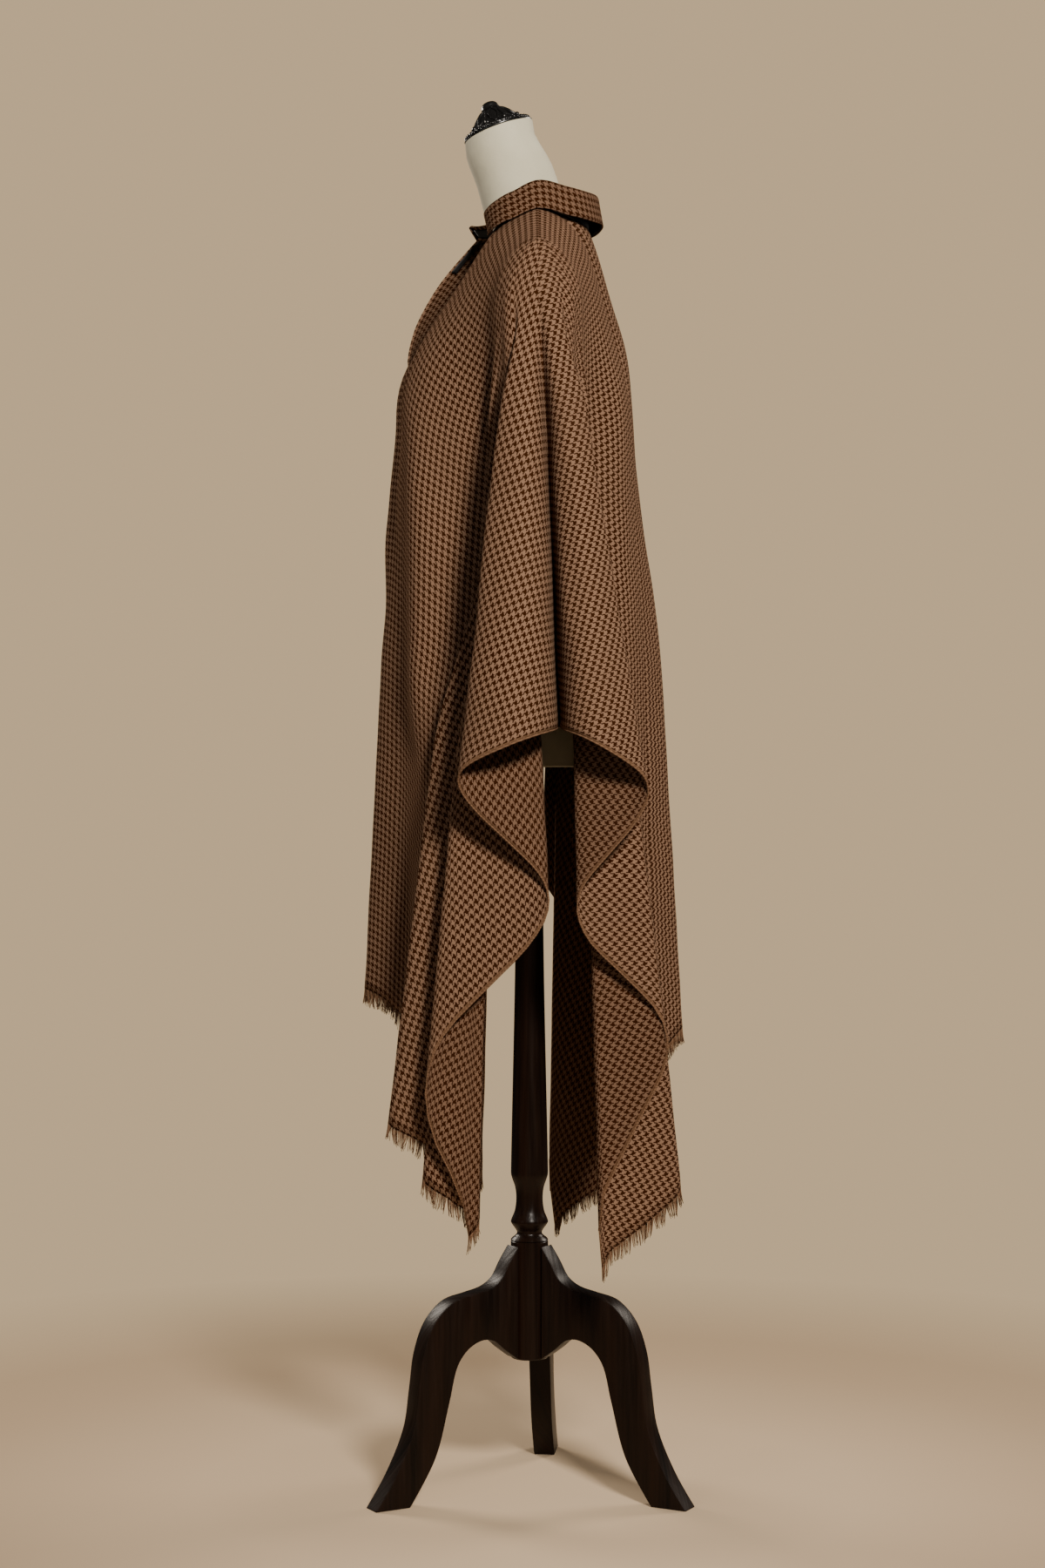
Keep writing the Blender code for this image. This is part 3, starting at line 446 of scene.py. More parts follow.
WOOD_DEEP = (0.0035, 0.0022, 0.0016)
WOOD_MIDDLE = (0.010, 0.0052, 0.0032)
WOOD_RED = (0.018, 0.0075, 0.0038)
FLOOR_LIGHT = (0.600, 0.455, 0.305)
FLOOR_DEEP = (0.565, 0.425, 0.280)
# painted shade towards the floor's rim
FLOOR_EDGE_PAINTED_SHADE = (0.400, 0.285, 0.180)

# Noise of each look: features a metre, fineness and stretch along each axis
Grain = namedtuple("Grain", "scale detail stretch")
EVEN = (1.0, 1.0, 1.0)
WOOL_WANDER = Grain(90.0, 2.0, EVEN)
WOOL_FIBRE = Grain(1500.0, 3.0, EVEN)
WOOL_PATCH = Grain(7.0, 3.0, EVEN)
YARN_FLECK = Grain(900.0, 2.0, EVEN)
EDGE_FLECK = Grain(260.0, 2.0, EVEN)
SATIN_RIBS = Grain(500.0, 2.0, (0.2, 3.0, 1.0))
CANVAS_KNIT = Grain(1300.0, 2.0, (1.0, 1.0, 0.6))
CANVAS_STAIN = Grain(16.0, 4.0, EVEN)
CANVAS_LUMPS = Grain(45.0, 2.0, EVEN)
CAST_PITS = Grain(160.0, 4.0, EVEN)
TURNED_STRETCH = (1.0, 1.0, 0.05)
BOARD_STRETCH = (1.0, 0.06, 1.0)
WOOD_FINE = (190.0, 5.0)
WOOD_BROAD = (42.0, 3.0)
FLOOR_PATCH = Grain(0.9, 3.0, EVEN)
FLOOR_SPECK = Grain(260.0, 2.0, EVEN)

# Relief of each look
Bump = namedtuple("Bump", "depth strength")
WOOL_BUMP = Bump(THREAD * 0.35, 0.55)
YARN_BUMP = Bump(0.0002, 0.5)
EDGE_BUMP = Bump(0.0003, 0.5)
SATIN_BUMP = Bump(0.0002, 0.35)
CANVAS_BUMP = Bump(0.0012, 0.4)
CAST_BUMP = Bump(0.0008, 0.4)
WOOD_BUMP = Bump(0.0006, 0.25)
FLOOR_BUMP = Bump(0.0004, 0.15)

# Roughness of each look; a pair is the least and what the noise adds
WOOL_ROUGHNESS = 0.86
YARN_ROUGHNESS = 0.88
EDGE_ROUGHNESS = 0.85
SATIN_ROUGHNESS = (0.40, 0.2)
CANVAS_ROUGHNESS = 0.9
CAST_ROUGHNESS = (0.14, 0.3)
TURNED_ROUGHNESS = (0.22, 0.15)
BOARD_ROUGHNESS = (0.32, 0.15)
FLOOR_ROUGHNESS = 0.95

# Shine: nap of the wool, and the level of the reflection on the rest
NAP_SHEEN = 0.025
NAP_SPREAD = 0.45
NAP_TINT = (0.70, 0.48, 0.32, 1.0)
CANVAS_SHEEN = 0.15
WOOL_SHINE = 0.0
SATIN_SHINE = 0.22
CANVAS_SHINE = 0.2
WOOD_SHINE = 0.12
FLOOR_SHINE = 0.1
CAST_METAL = 0.15
CAST_COAT = 0.15

# How the parts of each look are mixed: ranges of the noise, and shares
TWILL = 4.0                 # threads in a repeat of the twill, and how many of them the warp lies over
TWILL_OVER = 2.0
WANDER = 0.9                # how far the threads stray, in threads
PATCH_RANGE = (0.35, 0.75)
WORN_SHARE = 0.16
RIM_SHARE = 0.7
TWIST_SHARE = 0.35
KNIT_SHARE = 0.35
KNIT_HEIGHT = 0.4
GRAIN_RANGE = (0.35, 0.7)
RED_SHARE = 0.6
PAPER_RANGE = (0.3, 0.7)
SPECK_SHARE = 0.12

# Stage, camera and lights
FLOOR_SIDES = 96
FLOOR_RADIUS = 2.0
FLOOR_DIM = (0.40, 0.95)    # distances from the middle between which painted shade darkens the floor
FLOOR_FADE = (0.75, 1.50)   # and between which it thins out
FLOOR_DROP = 0.0003
SENSOR = 36.0
CAMERA_DISTANCE = 3.4
CAMERA_ASIDE = -0.0084
CAMERA_HEIGHT = 0.848
VIEW_HEIGHT = 1.89          # height of the view at the pole
LIGHT_AIM = (0.0, 0.0, 0.85)
Light = namedtuple("Light", "name place size power colour")
LIGHTS = (
    Light("key", (3.05, 0.85, 2.35), 0.6, 168.0, (1.0, 0.93, 0.84)),
    Light("fill", (2.6, -2.0, 1.6), 1.2, 9.0, (1.0, 0.97, 0.93)),
    Light("far front", (-2.2, -2.2, 2.2), 1.4, 80.0, (1.0, 0.90, 0.78)),
    Light("far back", (-1.8, 2.5, 2.2), 1.4, 60.0, (1.0, 0.90, 0.78)),
)
AMBIENT = 0.05
AMBIENT_COLOUR = (1.0, 0.95, 0.88)
BACKING_COLOUR = (0.630, 0.460, 0.270)


def smooth_rise(value, start, end):
    share = np.clip((value - start) / (end - start), 0.0, 1.0)
    return share * share * (3.0 - 2.0 * share)


def through(stations, values, at):
    """A smooth curve through values at rising stations, read at one station."""
    last = len(stations) - 1
    left = 0
    while left < last - 1 and at > stations[left + 1]:
        left += 1
    span = stations[left + 1] - stations[left]
    share = (at - stations[left]) / span

    def slope(i):
        if i == 0 or i == last:
            return 0.0
        return (values[i + 1] - values[i - 1]) / (stations[i + 1] - stations[i - 1])

    start, end = values[left], values[left + 1]
    rise_in, rise_out = slope(left) * span, slope(left + 1) * span
    square, cube = share * share, share ** 3
    return (
        start * (2 * cube - 3 * square + 1)
        + rise_in * (cube - 2 * square + share)
        + end * (3 * square - 2 * cube)
        + rise_out * (cube - square)
    )


# The hang of one line of the cloth
Line = namedtuple("Line", "anchor heading pitch bend slope length end low")
UP = Vector((0.0, 0.0, 1.0))


def shoulder_line(across, top):
    """A point of the shoulder line, which slopes from the neck to the shoulder points."""
    side = math.copysign(1.0, across)
    past_neck = abs(across) - NECK_HALF_WIDTH
    if past_neck > 0:
        x = NECK_HALF_WIDTH + past_neck * math.cos(SHOULDER_PITCH)
        z = NECK_SIDE_HEIGHT - past_neck * math.sin(SHOULDER_PITCH)
    else:
        x = abs(across)
        share = abs(across) / NECK_HALF_WIDTH
        z = top + (NECK_SIDE_HEIGHT - top) * share * share
    return Vector((side * x, SHOULDER_BACK, z))


def side_length(angle):
    """Flat distance from the shoulder point to the cloth's edge in this direction."""
    turn = math.radians(angle)
    to_selvedge = SIDE_FLAT / max(math.cos(turn), NEAR)
    if angle == 0:
        return to_selvedge
    hem = FRONT_LENGTH if angle > 0 else BACK_LENGTH
    return min(to_selvedge, hem / abs(math.sin(turn)))


def fold_end(folds, angle):
    """Where the line in this direction ends, read from the fold table with its tips rounded off."""
    stations = [fold.angle for fold in folds]
    before = max(angle - TIP_ROUNDING, stations[0])
    after = min(angle + TIP_ROUNDING, stations[-1])

    def rounded(name):
        values = [getattr(fold, name) for fold in folds]
        beside = through(stations, values, before) + through(stations, values, after)
        return through(stations, values, angle) / 2 + beside / 4

    return Fold("line", angle, rounded("forward"), rounded("outward"), rounded("drop"))


def side_line(side, folds, angle):
    fold = fold_end(folds, angle)
    turn = math.radians(angle)
    heading = Vector((side * math.cos(turn), -math.sin(turn), 0.0))
    return Line(
        shoulder_line(side * SHOULDER_FLAT, FRONT_TOP_HEIGHT),
        heading,
        SHOULDER_PITCH * math.cos(turn),
        SIDE_BEND,
        math.radians(UPRIGHT),
        side_length(angle) + fold.drop,
        Vector((side * fold.outward, -fold.forward, 0.0)),
        smooth_rise(abs(angle), *LOW_ANGLES),
    )


def panel_line(side, rows, edge_fold, across):
    """A line down the front or back panel; the mirrored hollow beyond the middle keeps the middle smooth."""
    front = edge_fold.forward > 0
    edge = Panel("edge", SHOULDER_FLAT, edge_fold.forward, edge_fold.outward, SIDE_BEND, UPRIGHT)
    middle, hollow = rows[::-1]
    beyond = hollow._replace(across=-hollow.across, outward=-hollow.outward)
    rows = (beyond, middle, hollow, edge)
    stations = [row.across for row in rows]

    def column(name):
        return through(stations, [getattr(row, name) for row in rows], across)

    return Line(
        shoulder_line(side * across, FRONT_TOP_HEIGHT if front else BACK_TOP_HEIGHT),
        Vector((0.0, -1.0 if front else 1.0, 0.0)),
        0.0,
        column("bend"),
        math.radians(column("slope")),
        FRONT_LENGTH if front else BACK_LENGTH,
        Vector((side * column("outward"), -column("forward"), 0.0)),
        1.0,
    )


def swing(line, distances, low):
    """Share of a fold's swing that is reached at these distances."""
    start = FOLD_START + (LOW_START - FOLD_START) * low
    full = FOLD_FULL + (LOW_FULL - FOLD_FULL) * low
    return distances / line.length * smooth_rise(distances, start, full)


def hang(line, distances):
    """The points of the cloth at these flat distances along a line, one row each."""
    distances = np.asarray(distances, float)
    settled = max(line.bend, CHEST_END)
    marks = np.linspace(0.0, settled, BEND_STEPS + 1)
    at = (marks[1:] + marks[:-1]) / 2
    pitch = line.pitch + (line.slope - line.pitch) * smooth_rise(at, -line.bend / 2, line.bend)
    pitch += (math.radians(UPRIGHT) - line.slope) * smooth_rise(at, CHEST_START, CHEST_END)
    step = settled / BEND_STEPS
    outs = np.concatenate(([0.0], np.cumsum(step * np.cos(pitch))))
    downs = np.concatenate(([0.0], np.cumsum(step * np.sin(pitch))))
    foot = line.anchor + line.heading * outs[-1]
    aside = line.end - Vector((foot.x, foot.y, 0.0))
    steep = math.sqrt(max(1.0 - (aside.length / (line.length - settled)) ** 2, 0.0))
    points = np.array(line.anchor) + np.outer(np.interp(distances, marks, outs), np.array(line.heading))
    points[:, 0] += aside.x * swing(line, distances, 0.0)
    points[:, 1] += aside.y * swing(line, distances, line.low)
    points[:, 2] -= np.interp(distances, marks, downs) + np.maximum(distances - settled, 0.0) * steep
    return points


def neck_edge(across, front):
    """Flat distance from the shoulder line to the neck hole's edge."""
    share = min(abs(across) / NECK_HALF_WIDTH, 1.0)
    return (NECK_FRONT if front else NECK_BACK) * math.sqrt(1.0 - share * share)


def slit_spread(points, side, across, along):
    """Moves points near the slit outwards, and rolls the right edge forward."""
    share = np.clip(1.0 - along / SLIT_END, 0.0, 1.0)
    near = max(1.0 - across / SLIT_SPREAD, 0.0) ** 2
    opened = np.minimum(along / NECK_FRONT, 1.0)
    points[:, 0] += side * SLIT_OPENING * share * near * opened
    if side < 0:
        points[:, 1] -= FAR_EDGE_ROLL * np.sin(math.pi * share ** FAR_EDGE_CURVE) * near * opened
    else:
        points[:, 1] += NEAR_EDGE_TUCK * np.sin(math.pi * share ** NEAR_EDGE_CURVE) * near * opened
    return points


# A column of the cloth: its place in the row of columns, its points in the flat cloth and as they hang,
# and the edge where it ends
Column = namedtuple("Column", "place flat points kind")


def panel_points(side, rows, edge_fold, across, along):
    points = hang(panel_line(side, rows, edge_fold, across), along)
    if edge_fold.forward > 0:
        points = slit_spread(points, side, across, along)
    return points


def panel_column(side, rows, edge_fold, across):
    front = edge_fold.forward > 0
    start = neck_edge(across, front)
    length = FRONT_LENGTH if front else BACK_LENGTH
    along = start + ROW_SHARES * (length - start)
    points = panel_points(side, rows, edge_fold, across, along)
    flat = np.column_stack((np.full(len(along), side * across), along if front else -along))
    place = 90 + PANEL_PLACE * (SHOULDER_FLAT - across)
    return Column(place if front else -place, flat, points, "front" if front else "back")


def side_column(side, folds, angle):
    line = side_line(side, folds, angle)
    turn = math.radians(angle)
    reach = ROW_SHARES * side_length(angle)
    flat = np.column_stack((side * (SHOULDER_FLAT + reach * math.cos(turn)), reach * math.sin(turn)))
    if angle >= FRONT_CORNER:
        kind = "front"
    elif angle <= -BACK_CORNER:
        kind = "back"
    else:
        kind = "selvedge"
    return Column(angle, flat, hang(line, ROW_SHARES * line.length), kind)


def side_angles(folds):
    """Directions of the columns round a shoulder point, from back to front, one on each fold line."""
    angles = []
    for first, second in zip(folds, folds[1:]):
        count = max(1, round((second.angle - first.angle) / ANGLE_STEP))
        angles += [first.angle + (second.angle - first.angle) * i / count for i in range(count)]
    return angles + [folds[-1].angle]


def panel_places():
    """Flat distances of the panel columns from the middle, next to the middle first."""
    inner = [NECK_HALF_WIDTH * i / NECK_COLUMNS for i in range(NECK_COLUMNS + 1)]
    outer_count = PANEL_COLUMNS - NECK_COLUMNS
    width = SHOULDER_FLAT - NECK_HALF_WIDTH
    return inner + [NECK_HALF_WIDTH + width * i / outer_count for i in range(1, outer_count)]


def half_columns(side, folds):
    """The columns of one half of the cloth, from the back middle round the side to the front middle."""
    columns = [panel_column(side, BACK_PANEL, fold_end(folds, -90), place) for place in panel_places()]
    columns += [side_column(side, folds, angle) for angle in side_angles(folds)]
    columns += [panel_column(side, FRONT_PANEL, fold_end(folds, 90), place) for place in panel_places()[::-1]]
    return columns


def crease_depth(flat):
    """How far the creases move a place of the flat cloth outwards."""
    moved = 0.0
    for crease in CREASES:
        start = np.array((crease.from_across, crease.from_along))
        run = np.array((crease.to_across, crease.to_along)) - start
        share = np.clip((flat - start) @ run / (run @ run), 0.0, 1.0)
        away = np.linalg.norm(flat - start - np.outer(share, run), axis=1)
        ends = smooth_rise(share, 0.0, CREASE_ENDS) * smooth_rise(1.0 - share, 0.0, CREASE_ENDS)
        moved = moved + crease.depth * ends * np.exp(-((away / crease.width) ** 2))
    soft = np.array([noise.noise(Vector((*place, 0.0)) * UNDULATION_SCALE) for place in flat])
    return moved + UNDULATION * soft


def creased(side, columns):
    """The columns moved out or in by the creases, square to the cloth."""
    points = np.array([column.points for column in columns])
    outward = side * np.cross(np.gradient(points, axis=1), np.gradient(points, axis=0))
    outward /= np.maximum(np.linalg.norm(outward, axis=2, keepdims=True), TINY)
    done = []
    for column, normals in zip(columns, outward):
        depth = crease_depth(column.flat)
        done.append(column._replace(points=column.points + normals * depth[:, None]))
    return done


# The cloth's halves: side, columns and charts
Half = namedtuple("Half", "side columns charts")


def cloth_halves():
    return (
        Half(1, creased(1, half_columns(1, LEFT_FOLDS)), LEFT_CHARTS),
        Half(-1, creased(-1, half_columns(-1, RIGHT_FOLDS)), RIGHT_CHARTS),
    )


def chart_places(half, chart):
    """Where each point of a chart's columns lies in the weave, one array for each column."""
    columns = [c for c in half.columns if chart.first - NEAR <= c.place <= chart.last + NEAR]
    start = min(range(len(columns)), key=lambda i: abs(columns[i].place - chart.middle))
    places = {columns[start].place: columns[start].flat}
    for order in (range(start + 1, len(columns)), range(start - 1, -1, -1)):
        for i in order:
            before = columns[i - 1 if i > start else i + 1]
            length = np.linalg.norm(columns[i].points - before.points, axis=1)
            step = columns[i].flat - before.flat
            share = length / np.maximum(np.linalg.norm(step, axis=1), TINY)
            places[columns[i].place] = places[before.place] + step * share[:, None]
    return places


def add_piece(name, points, faces, smooth=True):
    """A new mesh object at the origin."""
    mesh = bpy.data.meshes.new(name)
    mesh.from_pydata([tuple(p) for p in points], [], faces)
    mesh.validate()
    thing = bpy.data.objects.new(name, mesh)
    bpy.context.scene.collection.objects.link(thing)
    if smooth:
        mesh.shade_smooth()
    return thing


def only(thing):
    """Selects one object and makes it the active one."""
    bpy.ops.object.select_all(action="DESELECT")
    thing.select_set(True)
    bpy.context.view_layer.objects.active = thing


def apply_modifier(thing, kind, **settings):
    modifier = thing.modifiers.new(kind.lower(), kind)
    for key, value in settings.items():
        setattr(modifier, key, value)
    only(thing)
    bpy.ops.object.modifier_apply(modifier=modifier.name)


def thicken(thing, wall, inner):
    """Gives a sheet its wall; inner counts on from the outer side's material to the inner side's."""
    settings = {"thickness": wall, "offset": 0.0, "material_offset": inner, "material_offset_rim": 0}
    apply_modifier(thing, "SOLIDIFY", **settings)


def cloth_mesh(halves):
    """The sheet with its weave places; points with the same place in the flat cloth are one point."""
    index, points, flats, faces, weave = {}, [], [], [], []

    def number(side, column, row):
        across, along = column.flat[row]
        on_slit = abs(across) < NEAR and 0 < along < SLIT_END - SLIT_CLOSES
        key = (round(across, DIGITS), round(along, DIGITS), side if on_slit else 0)
        if key not in index:
            index[key] = len(points)
            points.append(column.points[row])
            flats.append(column.flat[row])
        return index[key]

    for half in halves:
        for chart in half.charts:
            places = chart_places(half, chart)
            columns = [column for column in half.columns if column.place in places]
            for first, second in zip(columns, columns[1:]):
                for row in range(len(ROW_SHARES) - 1):
                    corners = [(first, row), (second, row), (second, row + 1), (first, row + 1)]
                    if half.side < 0:
                        corners = corners[::-1]
                    face, places_of_face = [], []
                    for column, at in corners:
                        vertex = number(half.side, column, at)
                        if vertex not in face:
                            face.append(vertex)
                            places_of_face.append(places[column.place][at])
                    if len(face) > 2:
                        faces.append(face)
                        weave.append(places_of_face)
    cloth = add_piece("poncho", points, faces)
    mesh = cloth.data
    layer = mesh.uv_layers.new(name="weave")
    layer.uv.foreach_set("vector", np.concatenate([np.ravel(p) for p in weave]))
    rim = mesh.uv_layers.new(name="rim")
    rim.uv.foreach_set("vector", np.ravel([edge_places(flats[loop.vertex_index]) for loop in mesh.loops]))
    settle_shoulders(cloth, flats)
    return cloth


def edge_places(flat):
    """Distances in the flat cloth to the nearer selvedge and to the hem."""
    length = FRONT_LENGTH if flat[1] > 0 else BACK_LENGTH
    return SHOULDER_FLAT + SIDE_FLAT - abs(flat[0]), length - abs(flat[1])


def settle_shoulders(cloth, flats):
    """Smooths the cloth where the folds fan out from the shoulder points."""
    group = cloth.vertex_groups.new(name="shoulders")
    for vertex, flat in zip(cloth.data.vertices, flats):
        away = math.hypot(abs(flat[0]) - SHOULDER_FLAT, flat[1])
        weight = 1.0 - smooth_rise(away, SETTLE_NEAR, SETTLE_FAR)
        if weight > 0:
            group.add([vertex.index], float(weight), "REPLACE")
    apply_modifier(cloth, "SMOOTH", factor=SETTLE_FACTOR, iterations=SETTLE_ROUNDS, vertex_group="shoulders")
    cloth.vertex_groups.clear()


def swept(rows):
    """Points and faces of a sheet through rows of points of equal count."""
    width = len(rows[0])
    points = [point for row in rows for point in row]
    faces = []
    for i in range(len(rows) - 1):
        for j in range(width - 1):
            first = i * width + j
            faces.append([first, first + 1, first + width + 1, first + width])
    return points, faces


def ring_faces(rings, count):
    """Faces of a closed skin through rings of this many points each, with flat ends."""
    last = (rings - 1) * count
    faces = [list(range(count))[::-1], list(range(last, last + count))]
    for i in range(rings - 1):
        for j in range(count):
            after = (j + 1) % count
            low, high = i * count, (i + 1) * count
            faces.append([low + j, low + after, high + after, high + j])
    return faces


def tube(path, radii, sides):
    """Points and faces of a closed tube along a path, with a radius for each of its points."""
    points = []
    for i, point in enumerate(path):
        run = path[min(i + 1, len(path) - 1)] - path[max(i - 1, 0)]
        if run.length < TINY:
            run = -UP
        first = run.cross(UP)
        if first.length < PARALLEL * run.length:
            first = run.cross(Vector((0.0, 1.0, 0.0)))
        first.normalize()
        second = run.cross(first).normalized()
        for k in range(sides):
            turn = 2 * math.pi * k / sides
            points.append(point + (first * math.cos(turn) + second * math.sin(turn)) * radii[i])
    return points, ring_faces(len(path), sides)


def gather(parts):
    """Many parts, each points and faces, as one."""
    points, faces = [], []
    for some_points, some_faces in parts:
        base = len(points)
        points += some_points
        faces += [[base + i for i in face] for face in some_faces]
    return points, faces


def faced_out(thing):
    only(thing)
    bpy.ops.object.mode_set(mode="EDIT")
    bpy.ops.mesh.select_all(action="SELECT")
    bpy.ops.mesh.normals_make_consistent(inside=False)
    bpy.ops.object.mode_set(mode="OBJECT")


def lengths_along(path):
    """The distance along a path to each of its points."""
    lengths = [0.0]
    for first, second in zip(path, path[1:]):
        lengths.append(lengths[-1] + (second - first).length)
    return lengths


def along_path(path, share):
    """A point at a share of a path's length, on a smooth curve through its points."""
    lengths = lengths_along(path)
    at = share * lengths[-1]
    return Vector([through(lengths, [p[axis] for p in path], at) for axis in range(3)])


def add_selvedges(halves):
    """The corded edge along each side of the cloth."""
    parts = []
    for half in halves:
        path = [Vector(c.points[-1]) for c in half.columns if c.kind == "selvedge"]
        parts.append(tube(path, [SELVEDGE_RADIUS] * len(path), SELVEDGE_SIDES))
    thing = add_piece("selvedges", *gather(parts))
    faced_out(thing)
    return thing


def hem_columns(halves, kind):
    """The columns that end on one hem, from the left selvedge to the right one."""
    left, right = [[c for c in half.columns if c.kind == kind] for half in halves]
    if kind == "front":
        return left + right[::-1][1:]
    return left[::-1] + right[1:]


def add_fringe(halves, kind, draw):
    """Loose warp ends along a hem, drawn together in clumps of uneven length."""
    columns = hem_columns(halves, kind)
    roots = [Vector(column.points[-1]) for column in columns]
    downs = [(Vector(c.points[-1]) - Vector(c.points[-3])).normalized() for c in columns]
    lengths = lengths_along(roots)
    parts, threads = [], []
    at = 0.0
    while at < lengths[-1]:
        clump = at + draw.uniform(*CLUMP_WIDTH)
        middle = (at + clump) / 2
        lean = draw.uniform(-CLUMP_LEAN, CLUMP_LEAN)
        long = draw.uniform(*CLUMP_LENGTH)
        while at < min(clump, lengths[-1]):
            k = min(max(int(np.searchsorted(lengths, at)) - 1, 0), len(roots) - 2)
            share = (at - lengths[k]) / max(lengths[k + 1] - lengths[k], TINY)
            root = roots[k].lerp(roots[k + 1], share)
            run = roots[k + 1] - roots[k]
            run = run.normalized() if run.length > TINY else Vector((1.0, 0.0, 0.0))
            down = (downs[k].lerp(downs[k + 1], share) - UP * FRINGE_DROOP).normalized()
            out = run.cross(down).normalized()
            reach = long * draw.uniform(*THREAD_LENGTH)
            aside = (middle - at) * CLUMP_PULL + lean * reach + draw.uniform(-1, 1) * THREAD_STRAY
            away = draw.uniform(-1, 1) * THREAD_STRAY
            path = []
            for i in range(FRINGE_STEPS + 1):
                part = i / FRINGE_STEPS
                bend = part * part
                hanging = root + down * (reach * part - FRINGE_ROOT)
                path.append(hanging + run * aside * bend + out * away * bend)
            radii = [FRINGE_RADIUS * (1.0 - FRINGE_TAPER * i / FRINGE_STEPS) for i in range(FRINGE_STEPS + 1)]
            parts.append(tube(path, radii, FRINGE_SIDES))
            threads.append(at)
            at += draw.uniform(*THREAD_SPACING)
    thing = add_piece(f"fringe_threads_{kind}", *gather(parts))
    layer = thing.data.uv_layers.new(name="weave")
    per_thread = len(parts[0][0])
    for loop in thing.data.loops:
        thread, point = divmod(loop.vertex_index, per_thread)
        layer.uv[loop.index].vector = (threads[thread], point // FRINGE_SIDES * FRINGE_LENGTH / FRINGE_STEPS)
    faced_out(thing)
    return thing


def neck_points(halves):
    """The edge of the neck hole, from its left front round the back to its right front."""
    loops = []
    for half in halves:
        back = [Vector(c.points[0]) for c in half.columns[: NECK_COLUMNS + 1]]
        front = [Vector(c.points[0]) for c in half.columns[-NECK_COLUMNS - 1:]]
        loops.append((back, front))
    (left_back, left_front), (right_back, right_front) = loops
    return left_front[::-1] + left_back[:-1][::-1] + right_back[1:] + right_front[1:]


def collar_rows(path):
    """Seam point, outward direction and the table's values at each step round the collar."""
    rows = []
    middle = sum(path, Vector()) / len(path)
    stations = [row.from_back for row in COLLAR]
    for i in range(COLLAR_STEPS + 1):
        share = i / COLLAR_STEPS
        seam = along_path(path, share)
        before = along_path(path, max(share - PATH_NEARBY, 0.0))
        after = along_path(path, min(share + PATH_NEARBY, 1.0))
        run = after - before
        out = Vector((run.y, -run.x, 0.0)).normalized()
        if out.dot(Vector((seam.x - middle.x, seam.y - middle.y, 0.0))) < 0:
            out = -out
        from_back = abs(2.0 * share - 1.0)
        columns = zip(*[row[2:] for row in COLLAR])
        values = [through(stations, column, from_back) for column in columns]
        rows.append((seam, out, CollarRow("step", from_back, *values)))
    return rows


def stand_profile(seam, out, row):
    foot = seam + UP * (CLOTH_WALL / 2 + SEAM_GAP)
    top = foot + (UP + out * row.lean) * row.stand
    return [foot.lerp(top, i / STAND_STEPS) for i in range(STAND_STEPS + 1)]


def fall_profile(seam, out, row, cloth):
    """From just above the stand, over the roll and down, lying on the cloth where it meets it."""
    centre = stand_profile(seam, out, row)[-1] + UP * SEAM_GAP + out * COLLAR_ROLL
    turned = math.radians(90 + row.droop)
    profile = []
    for i in range(ROLL_STEPS + 1):
        turn = turned * i / ROLL_STEPS
        profile.append(centre - out * COLLAR_ROLL * math.cos(turn) + UP * COLLAR_ROLL * math.sin(turn))
    last = profile[-1]
    back = Matrix.Rotation(math.copysign(math.radians(row.swept), seam.x), 3, "Z") @ out
    droop = math.radians(row.droop)
    for i in range(1, FALL_STEPS + 1):
        along = row.fall * i / FALL_STEPS
        point = last + back * along * math.cos(droop) - UP * along * math.sin(droop)
        near, facing, _, _ = cloth.find_nearest(point)
        facing *= math.copysign(1.0, facing.z)
        short = COLLAR_CLEARANCE - (point - near).dot(facing)
        profile.append(point + facing * max(short, 0.0))
    return profile


def measured_places(rows):
    """Places in the weave of a swept sheet's points, measured along its middle and down its rows."""
    run = 0.0
    places = []
    for i, row in enumerate(rows):
        if i:
            half = len(row) // 2
            run += (row[half] - rows[i - 1][half]).length
        down = 0.0
        for j, point in enumerate(row):
            if j:
                down += (point - row[j - 1]).length
            places.append((run, down))
    return places


def add_swept(name, rows, wall, materials, inner=0):
    """A thin band through rows of points, with its weave measured on it."""
    thing = add_piece(name, *swept(rows))
    layer = thing.data.uv_layers.new(name="weave")
    places = measured_places(rows)
    for loop in thing.data.loops:
        layer.uv[loop.index].vector = places[loop.vertex_index]
    for material in materials:
        thing.data.materials.append(material)
    thicken(thing, wall, inner)
    return thing


def facing_rows(side, folds):
    """Points of the satin strip inside one slit edge, taken from the cloth and moved in."""
    edge = fold_end(folds, 90)
    inset = CLOTH_WALL / 2 + FACING_GAP + FACING_WALL / 2
    along = NECK_FRONT + FACING_START + FACING_LENGTH * np.arange(FACING_STEPS + 1) / FACING_STEPS
    rows = []
    for j in range(FACING_ACROSS + 1):
        across = FACING_INSET + (FACING_WIDTH - FACING_INSET) * j / FACING_ACROSS
        here = panel_points(side, FRONT_PANEL, edge, across, along)
        ahead = panel_points(side, FRONT_PANEL, edge, across, along + NEARBY)
        beside = panel_points(side, FRONT_PANEL, edge, across + NEARBY, along)
        row = []
        for point, after, next_to in zip(here, ahead, beside):
            point = Vector(point)
            normal = (Vector(after) - point).cross(Vector(next_to) - point).normalized()
            if normal.y > 0:
                normal = -normal
            row.append(point - normal * inset)
        rows.append(row)
    return rows


def form_ring(section):
    lean = Matrix.Rotation(math.radians(section.lean), 3, "X")
    ring = []
    for i in range(FORM_SIDES):
        turn = 2 * math.pi * i / FORM_SIDES
        across, deep = math.cos(turn), math.sin(turn)
        x = section.half_width * math.copysign(abs(across) ** (2 / section.roundness), across)
        y = section.half_depth * math.copysign(abs(deep) ** (2 / section.roundness), deep)
        ring.append(lean @ Vector((x, y, 0.0)) + Vector((0.0, -section.forward, section.height)))
    return ring


